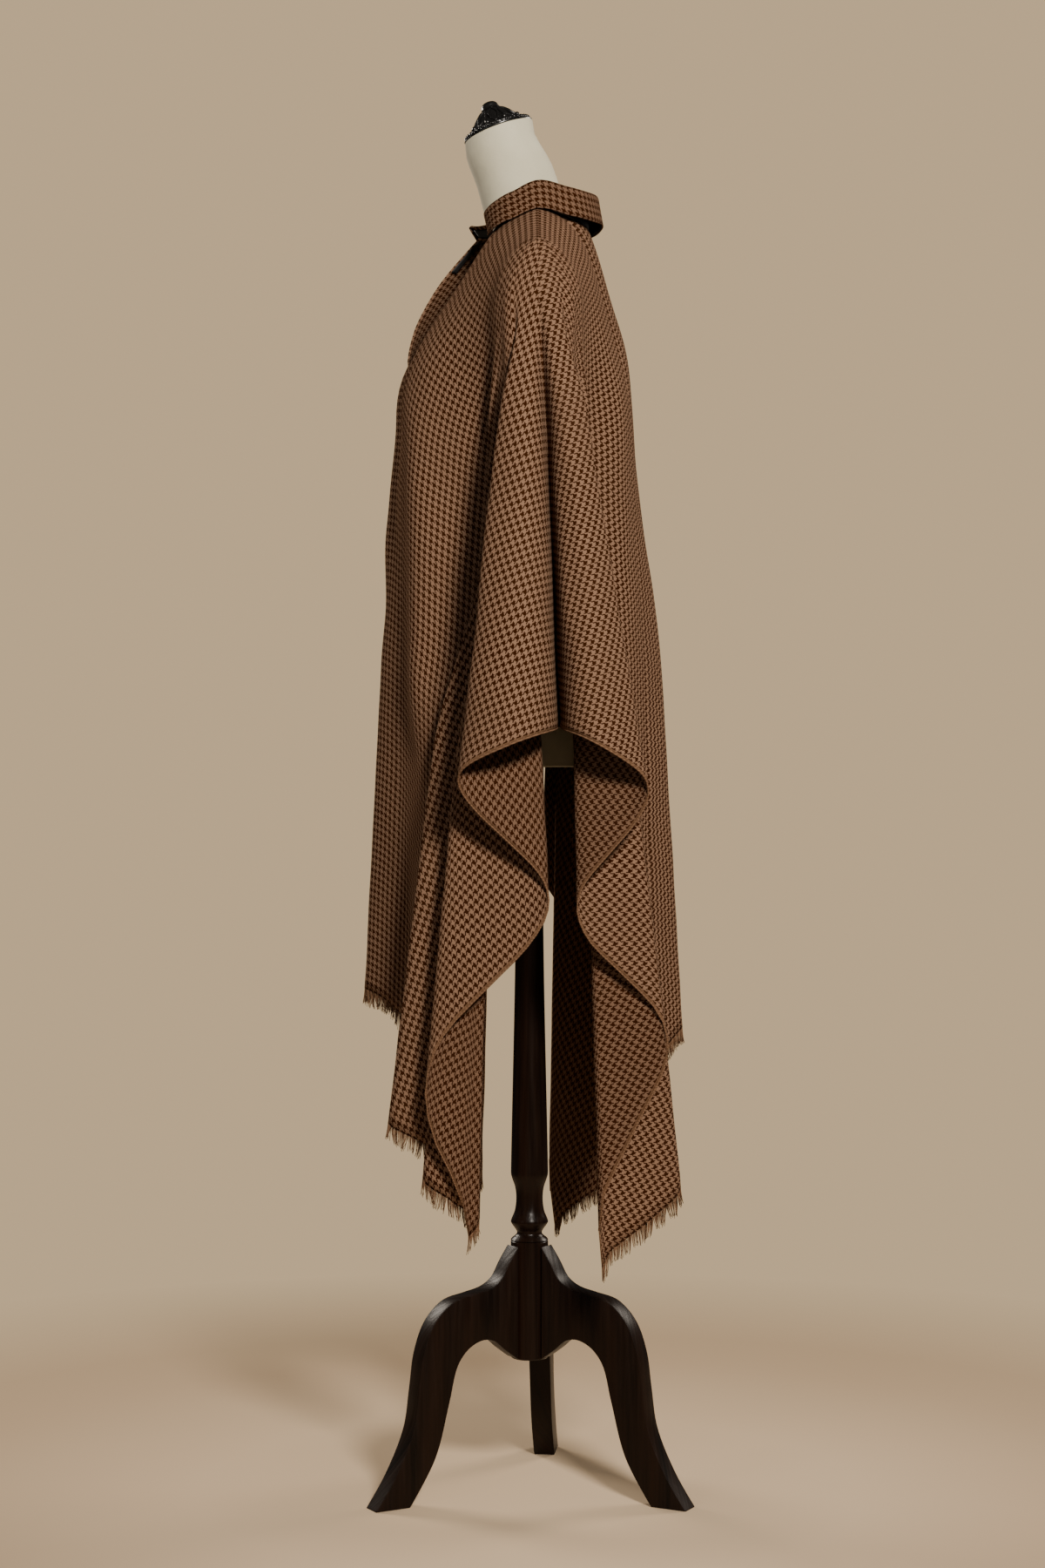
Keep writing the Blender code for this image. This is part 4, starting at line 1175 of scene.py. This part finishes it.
def lofted(rings):
    """Points and faces of a closed solid through rings of equal count, lowest first, with flat ends."""
    return [p for ring in rings for p in ring], ring_faces(len(rings), len(rings[0]))


def add_form():
    """The padded torso, its cover drawn smooth between the table's sections."""
    heights = [section.height for section in FORM_SECTIONS]
    rings = []
    for first, second in zip(FORM_SECTIONS, FORM_SECTIONS[1:]):
        count = max(1, round((second.height - first.height) / FORM_STEP))
        for i in range(count):
            height = first.height + (second.height - first.height) * i / count
            values = [through(heights, column, height) for column in list(zip(*FORM_SECTIONS))[1:]]
            tucked = FORM_TUCK * smooth_rise(height, *FORM_TUCK_HEIGHTS)
            ring = form_ring(Section(height, *values))
            rings.append([point - UP * tucked for point in ring])
    rings.append(form_ring(FORM_SECTIONS[-1]))
    thing = add_piece("dress_form", *lofted(rings))
    only(thing)
    bpy.ops.object.shade_smooth_by_angle(angle=FORM_SMOOTH)
    return thing


def spun(name, profile, steps):
    """A turned shape: a profile of heights and radii, lowest first, spun round Z."""
    points = [Vector((radius, 0.0, height)) for height, radius in profile]
    mesh = bpy.data.meshes.new(name)
    mesh.from_pydata([tuple(p) for p in points], [(i, i + 1) for i in range(len(points) - 1)], [])
    thing = bpy.data.objects.new(name, mesh)
    bpy.context.scene.collection.objects.link(thing)
    only(thing)
    bpy.ops.object.mode_set(mode="EDIT")
    bpy.ops.mesh.select_all(action="SELECT")
    bpy.ops.mesh.spin(steps=steps, angle=2 * math.pi, center=(0, 0, 0), axis=(0, 0, 1), use_auto_merge=True)
    bpy.ops.mesh.select_all(action="SELECT")
    bpy.ops.mesh.remove_doubles(threshold=NEAR)
    bpy.ops.mesh.normals_make_consistent(inside=False)
    bpy.ops.object.mode_set(mode="OBJECT")
    bpy.ops.object.shade_smooth_by_angle(angle=TURNED_SMOOTH)
    return thing


def smooth_profile(turns, step):
    """Heights and radii of a turned shape, lowest first, with soft curves between its table's rows."""
    rows = sorted(turns, key=lambda row: row.height)
    heights = [row.height for row in rows]
    radii = [row.radius for row in rows]
    profile = []
    for first, second in zip(rows, rows[1:]):
        count = max(1, round((second.height - first.height) / step))
        for i in range(count):
            height = first.height + (second.height - first.height) * i / count
            profile.append((height, through(heights, radii, height)))
    return profile + [(heights[-1], radii[-1])]


def add_pole():
    profile = smooth_profile(POLE_TURNS, POLE_STEP)
    ends = [(profile[0][0], 0.0)] + profile + [(profile[-1][0], 0.0)]
    return spun("turned_pole", ends, POLE_SIDES)


def add_hub():
    soft = HUB_EDGE
    profile = [
        (HUB_BOTTOM, 0.0),
        (HUB_BOTTOM, HUB_RADIUS - soft),
        (HUB_BOTTOM + soft, HUB_RADIUS),
        (HUB_TOP - soft, HUB_RADIUS),
        (HUB_TOP, HUB_RADIUS - soft),
        (HUB_TOP, 0.0),
    ]
    return spun("leg_hub", profile, POLE_SIDES)


def add_leg(name, angle):
    """A board cut to the leg's outline, its edges eased, turned to its place at the hub."""
    outline = []
    for rows in (LEG_OUTER, LEG_INNER):
        path = [Vector((row.radius, 0.0, row.height)) for row in rows]
        outline += [along_path(path, i / LEG_EDGE_STEPS) for i in range(LEG_EDGE_STEPS + 1)]
    outline = [point - Vector((0.0, LEG_BOARD / 2, 0.0)) for point in outline]
    thing = add_piece(f"{name}_board", outline, [list(range(len(outline)))], smooth=False)
    only(thing)
    bpy.ops.object.mode_set(mode="EDIT")
    bpy.ops.mesh.select_all(action="SELECT")
    bpy.ops.mesh.extrude_region_move(TRANSFORM_OT_translate={"value": (0.0, LEG_BOARD, 0.0)})
    bpy.ops.mesh.select_all(action="SELECT")
    bpy.ops.mesh.normals_make_consistent(inside=False)
    bpy.ops.object.mode_set(mode="OBJECT")
    eased = {"width": LEG_EASE, "segments": LEG_EASE_STEPS, "angle_limit": LEG_EASE_ANGLE}
    apply_modifier(thing, "BEVEL", limit_method="ANGLE", **eased)
    grain = thing.data.uv_layers.new(name="grain")
    for loop in thing.data.loops:
        place = thing.data.vertices[loop.vertex_index].co
        grain.uv[loop.index].vector = (place.x + place.y, place.z)
    turn = math.radians(angle)
    root = HUB_RADIUS + LEG_ROOT_GAP
    place = Matrix.Translation((root * math.cos(turn), root * math.sin(turn), 0.0))
    thing.data.transform(place @ Matrix.Rotation(turn, 4, "Z"))
    bpy.ops.object.shade_smooth_by_angle(angle=LEG_SMOOTH)
    return thing


def ball(centre, radius, rings, sides):
    """Points and faces of a small round bead."""
    points = [centre - UP * radius]
    for i in range(1, rings):
        fall = math.pi * i / rings
        for k in range(sides):
            turn = 2 * math.pi * k / sides
            wide = math.sin(fall)
            local = Vector((wide * math.cos(turn), wide * math.sin(turn), -math.cos(fall)))
            points.append(centre + local * radius)
    points.append(centre + UP * radius)
    faces = []
    last = len(points) - 1
    for k in range(sides):
        after = (k + 1) % sides
        faces.append([0, 1 + after, 1 + k])
        for i in range(rings - 2):
            low = 1 + i * sides
            faces.append([low + k, low + after, low + sides + after, low + sides + k])
        top = 1 + (rings - 2) * sides
        faces.append([top + k, top + after, last])
    return points, faces


def cap_radius(height):
    return through([row.height for row in CAP_TURNS], [row.radius for row in CAP_TURNS], height)


def add_cap():
    """The cast bell on the neck: a beaded rim, leaf ribs with curled feet, and a knob."""
    profile = [(0.0, 0.0)] + smooth_profile(CAP_TURNS, CAP_STEP)
    bell = spun("cast_cap", profile, CAP_SIDES)
    parts = []
    for i in range(CAP_BEADS):
        turn = 2 * math.pi * i / CAP_BEADS
        centre = Vector((math.cos(turn), math.sin(turn), 0.0)) * CAP_BEAD_PLACE
        centre.z = CAP_BEAD_HEIGHT
        parts.append(ball(centre, CAP_BEAD_RADIUS, *CAP_BEAD_GRID))
    for i in range(CAP_RIBS):
        turn = 2 * math.pi * i / CAP_RIBS
        for side in (-1, 1):
            path, radii = [], []
            for k in range(CAP_RIB_STEPS + 1):
                share = k / CAP_RIB_STEPS
                height = CAP_RIB_FOOT + (CAP_RIB_HEAD - CAP_RIB_FOOT) * share
                spread = side * CAP_RIB_SPREAD * math.sin(math.pi * (1.0 - share) ** CAP_RIB_CURL)
                radius = cap_radius(height) + CAP_RIB_PROUD
                at = turn + spread
                path.append(Vector((radius * math.cos(at), radius * math.sin(at), height)))
                radii.append(CAP_RIB_RADIUS * (CAP_RIB_THIN + CAP_RIB_SWELL * math.sin(math.pi * share)))
            parts.append(tube(path, radii, CAP_RIB_SIDES))
        foot = turn + math.pi / CAP_RIBS
        radius = cap_radius(CAP_LEAF_HEIGHT) + CAP_RIB_PROUD / 2
        centre = Vector((radius * math.cos(foot), radius * math.sin(foot), CAP_LEAF_HEIGHT))
        parts.append(ball(centre, CAP_LEAF_RADIUS, *CAP_LEAF_GRID))
    cast = add_piece("cast_leaves", *gather(parts))
    faced_out(cast)
    bpy.ops.object.select_all(action="DESELECT")
    cast.select_set(True)
    bell.select_set(True)
    bpy.context.view_layer.objects.active = bell
    bpy.ops.object.join()
    top = FORM_SECTIONS[-1]
    lean = Matrix.Rotation(math.radians(top.lean), 4, "X")
    place = Matrix.Translation((0.0, -top.forward, top.height)) @ lean
    bell.data.transform(place @ Matrix.Translation((0.0, 0.0, CAP_GAP)))
    return bell


# Materials

def new_material(name, roughness=None):
    """A material, its tree and its shader; a look that makes its own roughness gives none here."""
    material = bpy.data.materials.new(name)
    material.use_nodes = True
    shader = material.node_tree.nodes["Principled BSDF"]
    if roughness is not None:
        shader.inputs["Roughness"].default_value = roughness
    return material, material.node_tree, shader


def join(tree, socket, value):
    """Gives an input its value: another node's output, or a constant."""
    if isinstance(value, bpy.types.NodeSocket):
        tree.links.new(value, socket)
    else:
        socket.default_value = value


def maths(tree, operation, first, second=0.0):
    node = tree.nodes.new("ShaderNodeMath")
    node.operation = operation
    join(tree, node.inputs[0], first)
    join(tree, node.inputs[1], second)
    return node.outputs[0]


def mixed(tree, share, first, second):
    """A mix of two colours, each a colour or another node's output."""
    node = tree.nodes.new("ShaderNodeMix")
    node.data_type = "RGBA"
    join(tree, node.inputs["Factor"], share)
    colours = [socket for socket in node.inputs if socket.type == "RGBA"]
    for socket, value in zip(colours, (first, second)):
        join(tree, socket, value if isinstance(value, bpy.types.NodeSocket) else (*value, 1.0))
    return [socket for socket in node.outputs if socket.type == "RGBA"][0]


def noisy(tree, place, scale, detail, stretch):
    mapping = tree.nodes.new("ShaderNodeMapping")
    mapping.inputs["Scale"].default_value = stretch
    join(tree, mapping.inputs["Vector"], place)
    node = tree.nodes.new("ShaderNodeTexNoise")
    node.inputs["Scale"].default_value = scale
    node.inputs["Detail"].default_value = detail
    join(tree, node.inputs["Vector"], mapping.outputs[0])
    return node.outputs["Fac"]


def uv_place(tree, layer):
    node = tree.nodes.new("ShaderNodeUVMap")
    node.uv_map = layer
    return node.outputs[0]


def object_place(tree):
    return tree.nodes.new("ShaderNodeTexCoord").outputs["Object"]


def split(tree, place):
    node = tree.nodes.new("ShaderNodeSeparateXYZ")
    join(tree, node.inputs[0], place)
    return node.outputs[0], node.outputs[1], node.outputs[2]


def bumped(tree, shader, height, distance, strength):
    node = tree.nodes.new("ShaderNodeBump")
    node.inputs["Strength"].default_value = strength
    node.inputs["Distance"].default_value = distance
    join(tree, node.inputs["Height"], height)
    join(tree, shader.inputs["Normal"], node.outputs[0])


def roughened(tree, shader, noise_value, least, more):
    rough = maths(tree, "ADD", least, maths(tree, "MULTIPLY", noise_value, more))
    join(tree, shader.inputs["Roughness"], rough)


def ramped(tree, value, start, end):
    node = tree.nodes.new("ShaderNodeMapRange")
    node.inputs["From Min"].default_value = start
    node.inputs["From Max"].default_value = end
    join(tree, node.inputs["Value"], value)
    return node.outputs[0]


def is_dark(tree, thread):
    """1 where a thread is one of the dark ones: half of each repeat."""
    return maths(tree, "LESS_THAN", maths(tree, "FLOORED_MODULO", thread, REPEAT), REPEAT / 2)


def wool_look(name, rim=False, shade=1.0):
    """Houndstooth: a two-and-two twill of four dark and four light threads both ways."""
    material, tree, shader = new_material(name, WOOL_ROUGHNESS)
    place = uv_place(tree, "weave")
    across, along, _ = split(tree, place)
    stray = maths(tree, "SUBTRACT", noisy(tree, place, *WOOL_WANDER), 0.5)
    wander = maths(tree, "MULTIPLY", stray, THREAD * WANDER)
    warp = maths(tree, "DIVIDE", maths(tree, "ADD", across, wander), THREAD)
    weft = maths(tree, "DIVIDE", maths(tree, "ADD", along, wander), THREAD)
    warp_thread = maths(tree, "FLOOR", warp)
    weft_thread = maths(tree, "FLOOR", weft)
    step = maths(tree, "FLOORED_MODULO", maths(tree, "SUBTRACT", warp_thread, weft_thread), TWILL)
    warp_up = maths(tree, "LESS_THAN", step, TWILL_OVER)
    weft_up = maths(tree, "SUBTRACT", 1.0, warp_up)
    dark = maths(
        tree, "ADD",
        maths(tree, "MULTIPLY", warp_up, is_dark(tree, warp_thread)),
        maths(tree, "MULTIPLY", weft_up, is_dark(tree, weft_thread)),
    )
    fibre = noisy(tree, place, *WOOL_FIBRE)
    light = mixed(tree, fibre, WOOL_LIGHT, WOOL_LIGHT_FLECK)
    deep = mixed(tree, fibre, WOOL_DARK, WOOL_DARK_FLECK)
    colour = mixed(tree, dark, light, deep)
    worn = ramped(tree, noisy(tree, place, *WOOL_PATCH), *PATCH_RANGE)
    colour = mixed(tree, maths(tree, "MULTIPLY", worn, WORN_SHARE), colour, WOOL_WORN)
    if rim:
        to_selvedge, _, _ = split(tree, uv_place(tree, "rim"))
        edge = maths(tree, "LESS_THAN", to_selvedge, SELVEDGE_WIDTH)
        colour = mixed(tree, maths(tree, "MULTIPLY", edge, RIM_SHARE), colour, WOOL_EDGE)
    # painted shade: part of the colour is swapped for the dark thread's colour, darkening the whole look for
    # the shaded wrong side and collar
    colour = mixed(tree, 1.0 - shade, colour, WOOL_DARK)
    join(tree, shader.inputs["Base Color"], colour)
    round_warp = maths(tree, "SINE", maths(tree, "MULTIPLY", maths(tree, "FRACT", warp), math.pi))
    round_weft = maths(tree, "SINE", maths(tree, "MULTIPLY", maths(tree, "FRACT", weft), math.pi))
    height = maths(
        tree, "ADD",
        maths(tree, "MULTIPLY", warp_up, round_warp),
        maths(tree, "MULTIPLY", weft_up, round_weft),
    )
    bumped(tree, shader, height, *WOOL_BUMP)
    napped(shader)
    return material


def napped(shader):
    """The soft nap of wool."""
    shader.inputs["Sheen Weight"].default_value = NAP_SHEEN
    shader.inputs["Sheen Roughness"].default_value = NAP_SPREAD
    shader.inputs["Sheen Tint"].default_value = NAP_TINT
    shader.inputs["Specular IOR Level"].default_value = WOOL_SHINE


def twisted(tree, along):
    """The turns of a twisted yarn, from -1 to 1."""
    return maths(tree, "SINE", maths(tree, "MULTIPLY", along, 2 * math.pi / YARN_TWIST))


def thread_look(name, light, dark):
    """Loose yarn: dark and light ends in turn, twisted."""
    material, tree, shader = new_material(name, YARN_ROUGHNESS)
    place = uv_place(tree, "weave")
    across, along, _ = split(tree, place)
    thread = maths(tree, "FLOOR", maths(tree, "DIVIDE", across, THREAD))
    colour = mixed(tree, is_dark(tree, thread), light, dark)
    colour = mixed(tree, noisy(tree, place, *YARN_FLECK), colour, WOOL_EDGE)
    join(tree, shader.inputs["Base Color"], colour)
    twist = twisted(tree, maths(tree, "ADD", along, across))
    bumped(tree, shader, twist, *YARN_BUMP)
    napped(shader)
    return material


def edge_look(name):
    """The lighter corded selvedge, bound with a close twist."""
    material, tree, shader = new_material(name, EDGE_ROUGHNESS)
    place = object_place(tree)
    _, _, up = split(tree, place)
    twist = twisted(tree, up)
    colour = mixed(tree, noisy(tree, place, *EDGE_FLECK), WOOL_EDGE, WOOL_LIGHT)
    shaded = maths(tree, "MULTIPLY", ramped(tree, twist, -1.0, 1.0), TWIST_SHARE)
    colour = mixed(tree, shaded, colour, WOOL_DARK)
    join(tree, shader.inputs["Base Color"], colour)
    bumped(tree, shader, twist, *EDGE_BUMP)
    napped(shader)
    return material


def satin_look(name):
    material, tree, shader = new_material(name)
    place = uv_place(tree, "weave")
    ribs = noisy(tree, place, *SATIN_RIBS)
    colour = mixed(tree, ribs, SATIN_DEEP, SATIN_LIGHT)
    join(tree, shader.inputs["Base Color"], colour)
    roughened(tree, shader, ribs, *SATIN_ROUGHNESS)
    bumped(tree, shader, ribs, *SATIN_BUMP)
    shader.inputs["Specular IOR Level"].default_value = SATIN_SHINE
    return material


def canvas_look(name):
    """Cream jersey over padding: a fine knit, faint stains and a soft nap."""
    material, tree, shader = new_material(name, CANVAS_ROUGHNESS)
    place = object_place(tree)
    knit = noisy(tree, place, *CANVAS_KNIT)
    stain = ramped(tree, noisy(tree, place, *CANVAS_STAIN), *PATCH_RANGE)
    colour = mixed(tree, stain, CANVAS_LIGHT, CANVAS_WORN)
    colour = mixed(tree, maths(tree, "MULTIPLY", knit, KNIT_SHARE), colour, CANVAS_DEEP)
    join(tree, shader.inputs["Base Color"], colour)
    lumps = noisy(tree, place, *CANVAS_LUMPS)
    height = maths(tree, "ADD", maths(tree, "MULTIPLY", knit, KNIT_HEIGHT), lumps)
    bumped(tree, shader, height, *CANVAS_BUMP)
    shader.inputs["Sheen Weight"].default_value = CANVAS_SHEEN
    shader.inputs["Specular IOR Level"].default_value = CANVAS_SHINE
    return material


def cast_look(name):
    material, tree, shader = new_material(name)
    place = object_place(tree)
    pits = noisy(tree, place, *CAST_PITS)
    join(tree, shader.inputs["Base Color"], mixed(tree, pits, CAST_DEEP, CAST_LIGHT))
    roughened(tree, shader, pits, *CAST_ROUGHNESS)
    bumped(tree, shader, pits, *CAST_BUMP)
    shader.inputs["Metallic"].default_value = CAST_METAL
    shader.inputs["Coat Weight"].default_value = CAST_COAT
    return material


def wood_look(name, layer, stretch, roughness):
    """Dark stained wood with an upright grain, on the object's own places or on a layer of them."""
    material, tree, shader = new_material(name)
    place = uv_place(tree, layer) if layer else object_place(tree)
    grain = ramped(tree, noisy(tree, place, *WOOD_FINE, stretch), *GRAIN_RANGE)
    broad = ramped(tree, noisy(tree, place, *WOOD_BROAD, stretch), *GRAIN_RANGE)
    colour = mixed(tree, grain, WOOD_DEEP, WOOD_MIDDLE)
    colour = mixed(tree, maths(tree, "MULTIPLY", broad, RED_SHARE), colour, WOOD_RED)
    join(tree, shader.inputs["Base Color"], colour)
    roughened(tree, shader, grain, *roughness)
    bumped(tree, shader, grain, *WOOD_BUMP)
    shader.inputs["Specular IOR Level"].default_value = WOOD_SHINE
    return material


def floor_look(name):
    """Pale paper, darkened towards its rim by painted shade, that thins out to nothing round the edge."""
    material, tree, shader = new_material(name, FLOOR_ROUGHNESS)
    place = object_place(tree)
    patch = ramped(tree, noisy(tree, place, *FLOOR_PATCH), *PAPER_RANGE)
    colour = mixed(tree, patch, FLOOR_LIGHT, FLOOR_DEEP)
    speck = noisy(tree, place, *FLOOR_SPECK)
    colour = mixed(tree, maths(tree, "MULTIPLY", speck, SPECK_SHARE), colour, FLOOR_DEEP)
    away = tree.nodes.new("ShaderNodeVectorMath")
    away.operation = "LENGTH"
    join(tree, away.inputs[0], place)
    # painted shade: the floor darkens towards its rim
    colour = mixed(tree, ramped(tree, away.outputs["Value"], *FLOOR_DIM), colour, FLOOR_EDGE_PAINTED_SHADE)
    join(tree, shader.inputs["Base Color"], colour)
    bumped(tree, shader, speck, *FLOOR_BUMP)
    shader.inputs["Specular IOR Level"].default_value = FLOOR_SHINE
    shown = maths(tree, "SUBTRACT", 1.0, ramped(tree, away.outputs["Value"], *FLOOR_FADE))
    join(tree, shader.inputs["Alpha"], shown)
    return material


# Stage

def add_floor():
    bpy.ops.mesh.primitive_circle_add(vertices=FLOOR_SIDES, radius=FLOOR_RADIUS, fill_type="NGON")
    floor = bpy.context.active_object
    floor.name = "floor"
    floor.data.transform(Matrix.Translation((0.0, 0.0, -FLOOR_DROP)))
    floor.data.materials.append(floor_look("pale_paper"))


def add_light(name, place, size, power, colour):
    light = bpy.data.lights.new(name, "AREA")
    light.shape = "DISK"
    light.size = size
    light.energy = power
    light.color = colour
    thing = bpy.data.objects.new(name, light)
    thing.location = place
    thing.rotation_euler = (Vector(LIGHT_AIM) - Vector(place)).to_track_quat("-Z", "Y").to_euler()
    bpy.context.scene.collection.objects.link(thing)


def add_lights():
    for row in LIGHTS:
        add_light(*row)
    world = bpy.data.worlds.new("studio")
    world.use_nodes = True
    tree = world.node_tree
    ambient = tree.nodes["Background"]
    ambient.inputs["Color"].default_value = (*AMBIENT_COLOUR, 1.0)
    ambient.inputs["Strength"].default_value = AMBIENT
    backing = tree.nodes.new("ShaderNodeBackground")
    backing.inputs["Color"].default_value = (*BACKING_COLOUR, 1.0)
    seen = tree.nodes.new("ShaderNodeLightPath").outputs["Is Camera Ray"]
    both = tree.nodes.new("ShaderNodeMixShader")
    join(tree, both.inputs[0], seen)
    join(tree, both.inputs[1], ambient.outputs[0])
    join(tree, both.inputs[2], backing.outputs[0])
    join(tree, tree.nodes["World Output"].inputs["Surface"], both.outputs[0])
    bpy.context.scene.world = world


def add_camera():
    camera = bpy.data.cameras.new("photo_camera")
    camera.sensor_fit = "VERTICAL"
    camera.sensor_height = SENSOR
    camera.lens = SENSOR * CAMERA_DISTANCE / VIEW_HEIGHT
    thing = bpy.data.objects.new("photo_camera", camera)
    thing.location = (CAMERA_DISTANCE, CAMERA_ASIDE, CAMERA_HEIGHT)
    thing.rotation_euler = (math.radians(90), 0.0, math.radians(90))
    bpy.context.scene.collection.objects.link(thing)
    bpy.context.scene.camera = thing


def dress(thing, slot, look, *nodes):
    """Gives a piece its material, and says what it rides on and stands for; its slot is not used."""
    if look:
        thing.data.materials.clear()
        thing.data.materials.append(look)
    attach(thing, "root")
    if nodes:
        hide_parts(*nodes)


def dress_cloth():
    halves = cloth_halves()
    wool = wool_look("houndstooth_wool", rim=True)
    # painted shade: the wrong side gets a darker copy of the wool, for the shade it lies in
    inner = wool_look("houndstooth_inside_painted_shade", rim=True, shade=WOOL_INSIDE_PAINTED_SHADE)
    # painted shade: the collar gets a darker copy of the wool, for the shade on it
    shaded_collar_wool = wool_look("houndstooth_collar_painted_shade", shade=WOOL_COLLAR_PAINTED_SHADE)
    satin = satin_look("black_satin")
    cloth = cloth_mesh(halves)
    points = [vertex.co for vertex in cloth.data.vertices]
    surface = BVHTree.FromPolygons(points, [face.vertices for face in cloth.data.polygons])
    cloth.data.materials.append(wool)
    cloth.data.materials.append(inner)
    thicken(cloth, CLOTH_WALL, 1)
    dress(cloth, "wool", None, "poncho_cloth")
    selvedges = add_selvedges(halves)
    dress(selvedges, "wool", edge_look("selvedge_yarn"))
    draw = random.Random(FRINGE_SEED)
    yarn = thread_look("fringe_yarn", WOOL_LIGHT, WOOL_DARK)
    for kind in ("front", "back"):
        fringe = add_fringe(halves, kind, draw)
        dress(fringe, "wool", yarn, f"fringe_{kind}")
    rows = collar_rows(neck_points(halves))
    fall = add_swept("collar", [fall_profile(*row, surface) for row in rows], FALL_WALL, (shaded_collar_wool, satin), 1)
    dress(fall, "wool", None, "collar_fall")
    stand = add_swept("collar_band", [stand_profile(*row) for row in rows], STAND_WALL, (satin,))
    dress(stand, "satin", None, "collar_stand")
    for side, word, folds in ((1, "left", LEFT_FOLDS), (-1, "right", RIGHT_FOLDS)):
        facing = add_swept(f"facing_{word}", facing_rows(side, folds), FACING_WALL, (satin,))
        dress(facing, "satin", None, f"slit_facing_{word}")


def dress_form():
    form = add_form()
    dress(form, "canvas", canvas_look("cream_jersey"), "form_torso")
    dress(add_cap(), "cap", cast_look("black_cast"), "neck_cap")


def dress_stand():
    turned = wood_look("turned_wood", None, TURNED_STRETCH, TURNED_ROUGHNESS)
    board = wood_look("board_wood", "grain", BOARD_STRETCH, BOARD_ROUGHNESS)
    dress(add_pole(), "wood", turned, "pole")
    dress(add_hub(), "wood", turned, "hub")
    for name, angle in LEG_ANGLES.items():
        dress(add_leg(name, angle), "wood", board, name)


dress_cloth()
dress_form()
dress_stand()
add_floor()
add_lights()
add_camera()
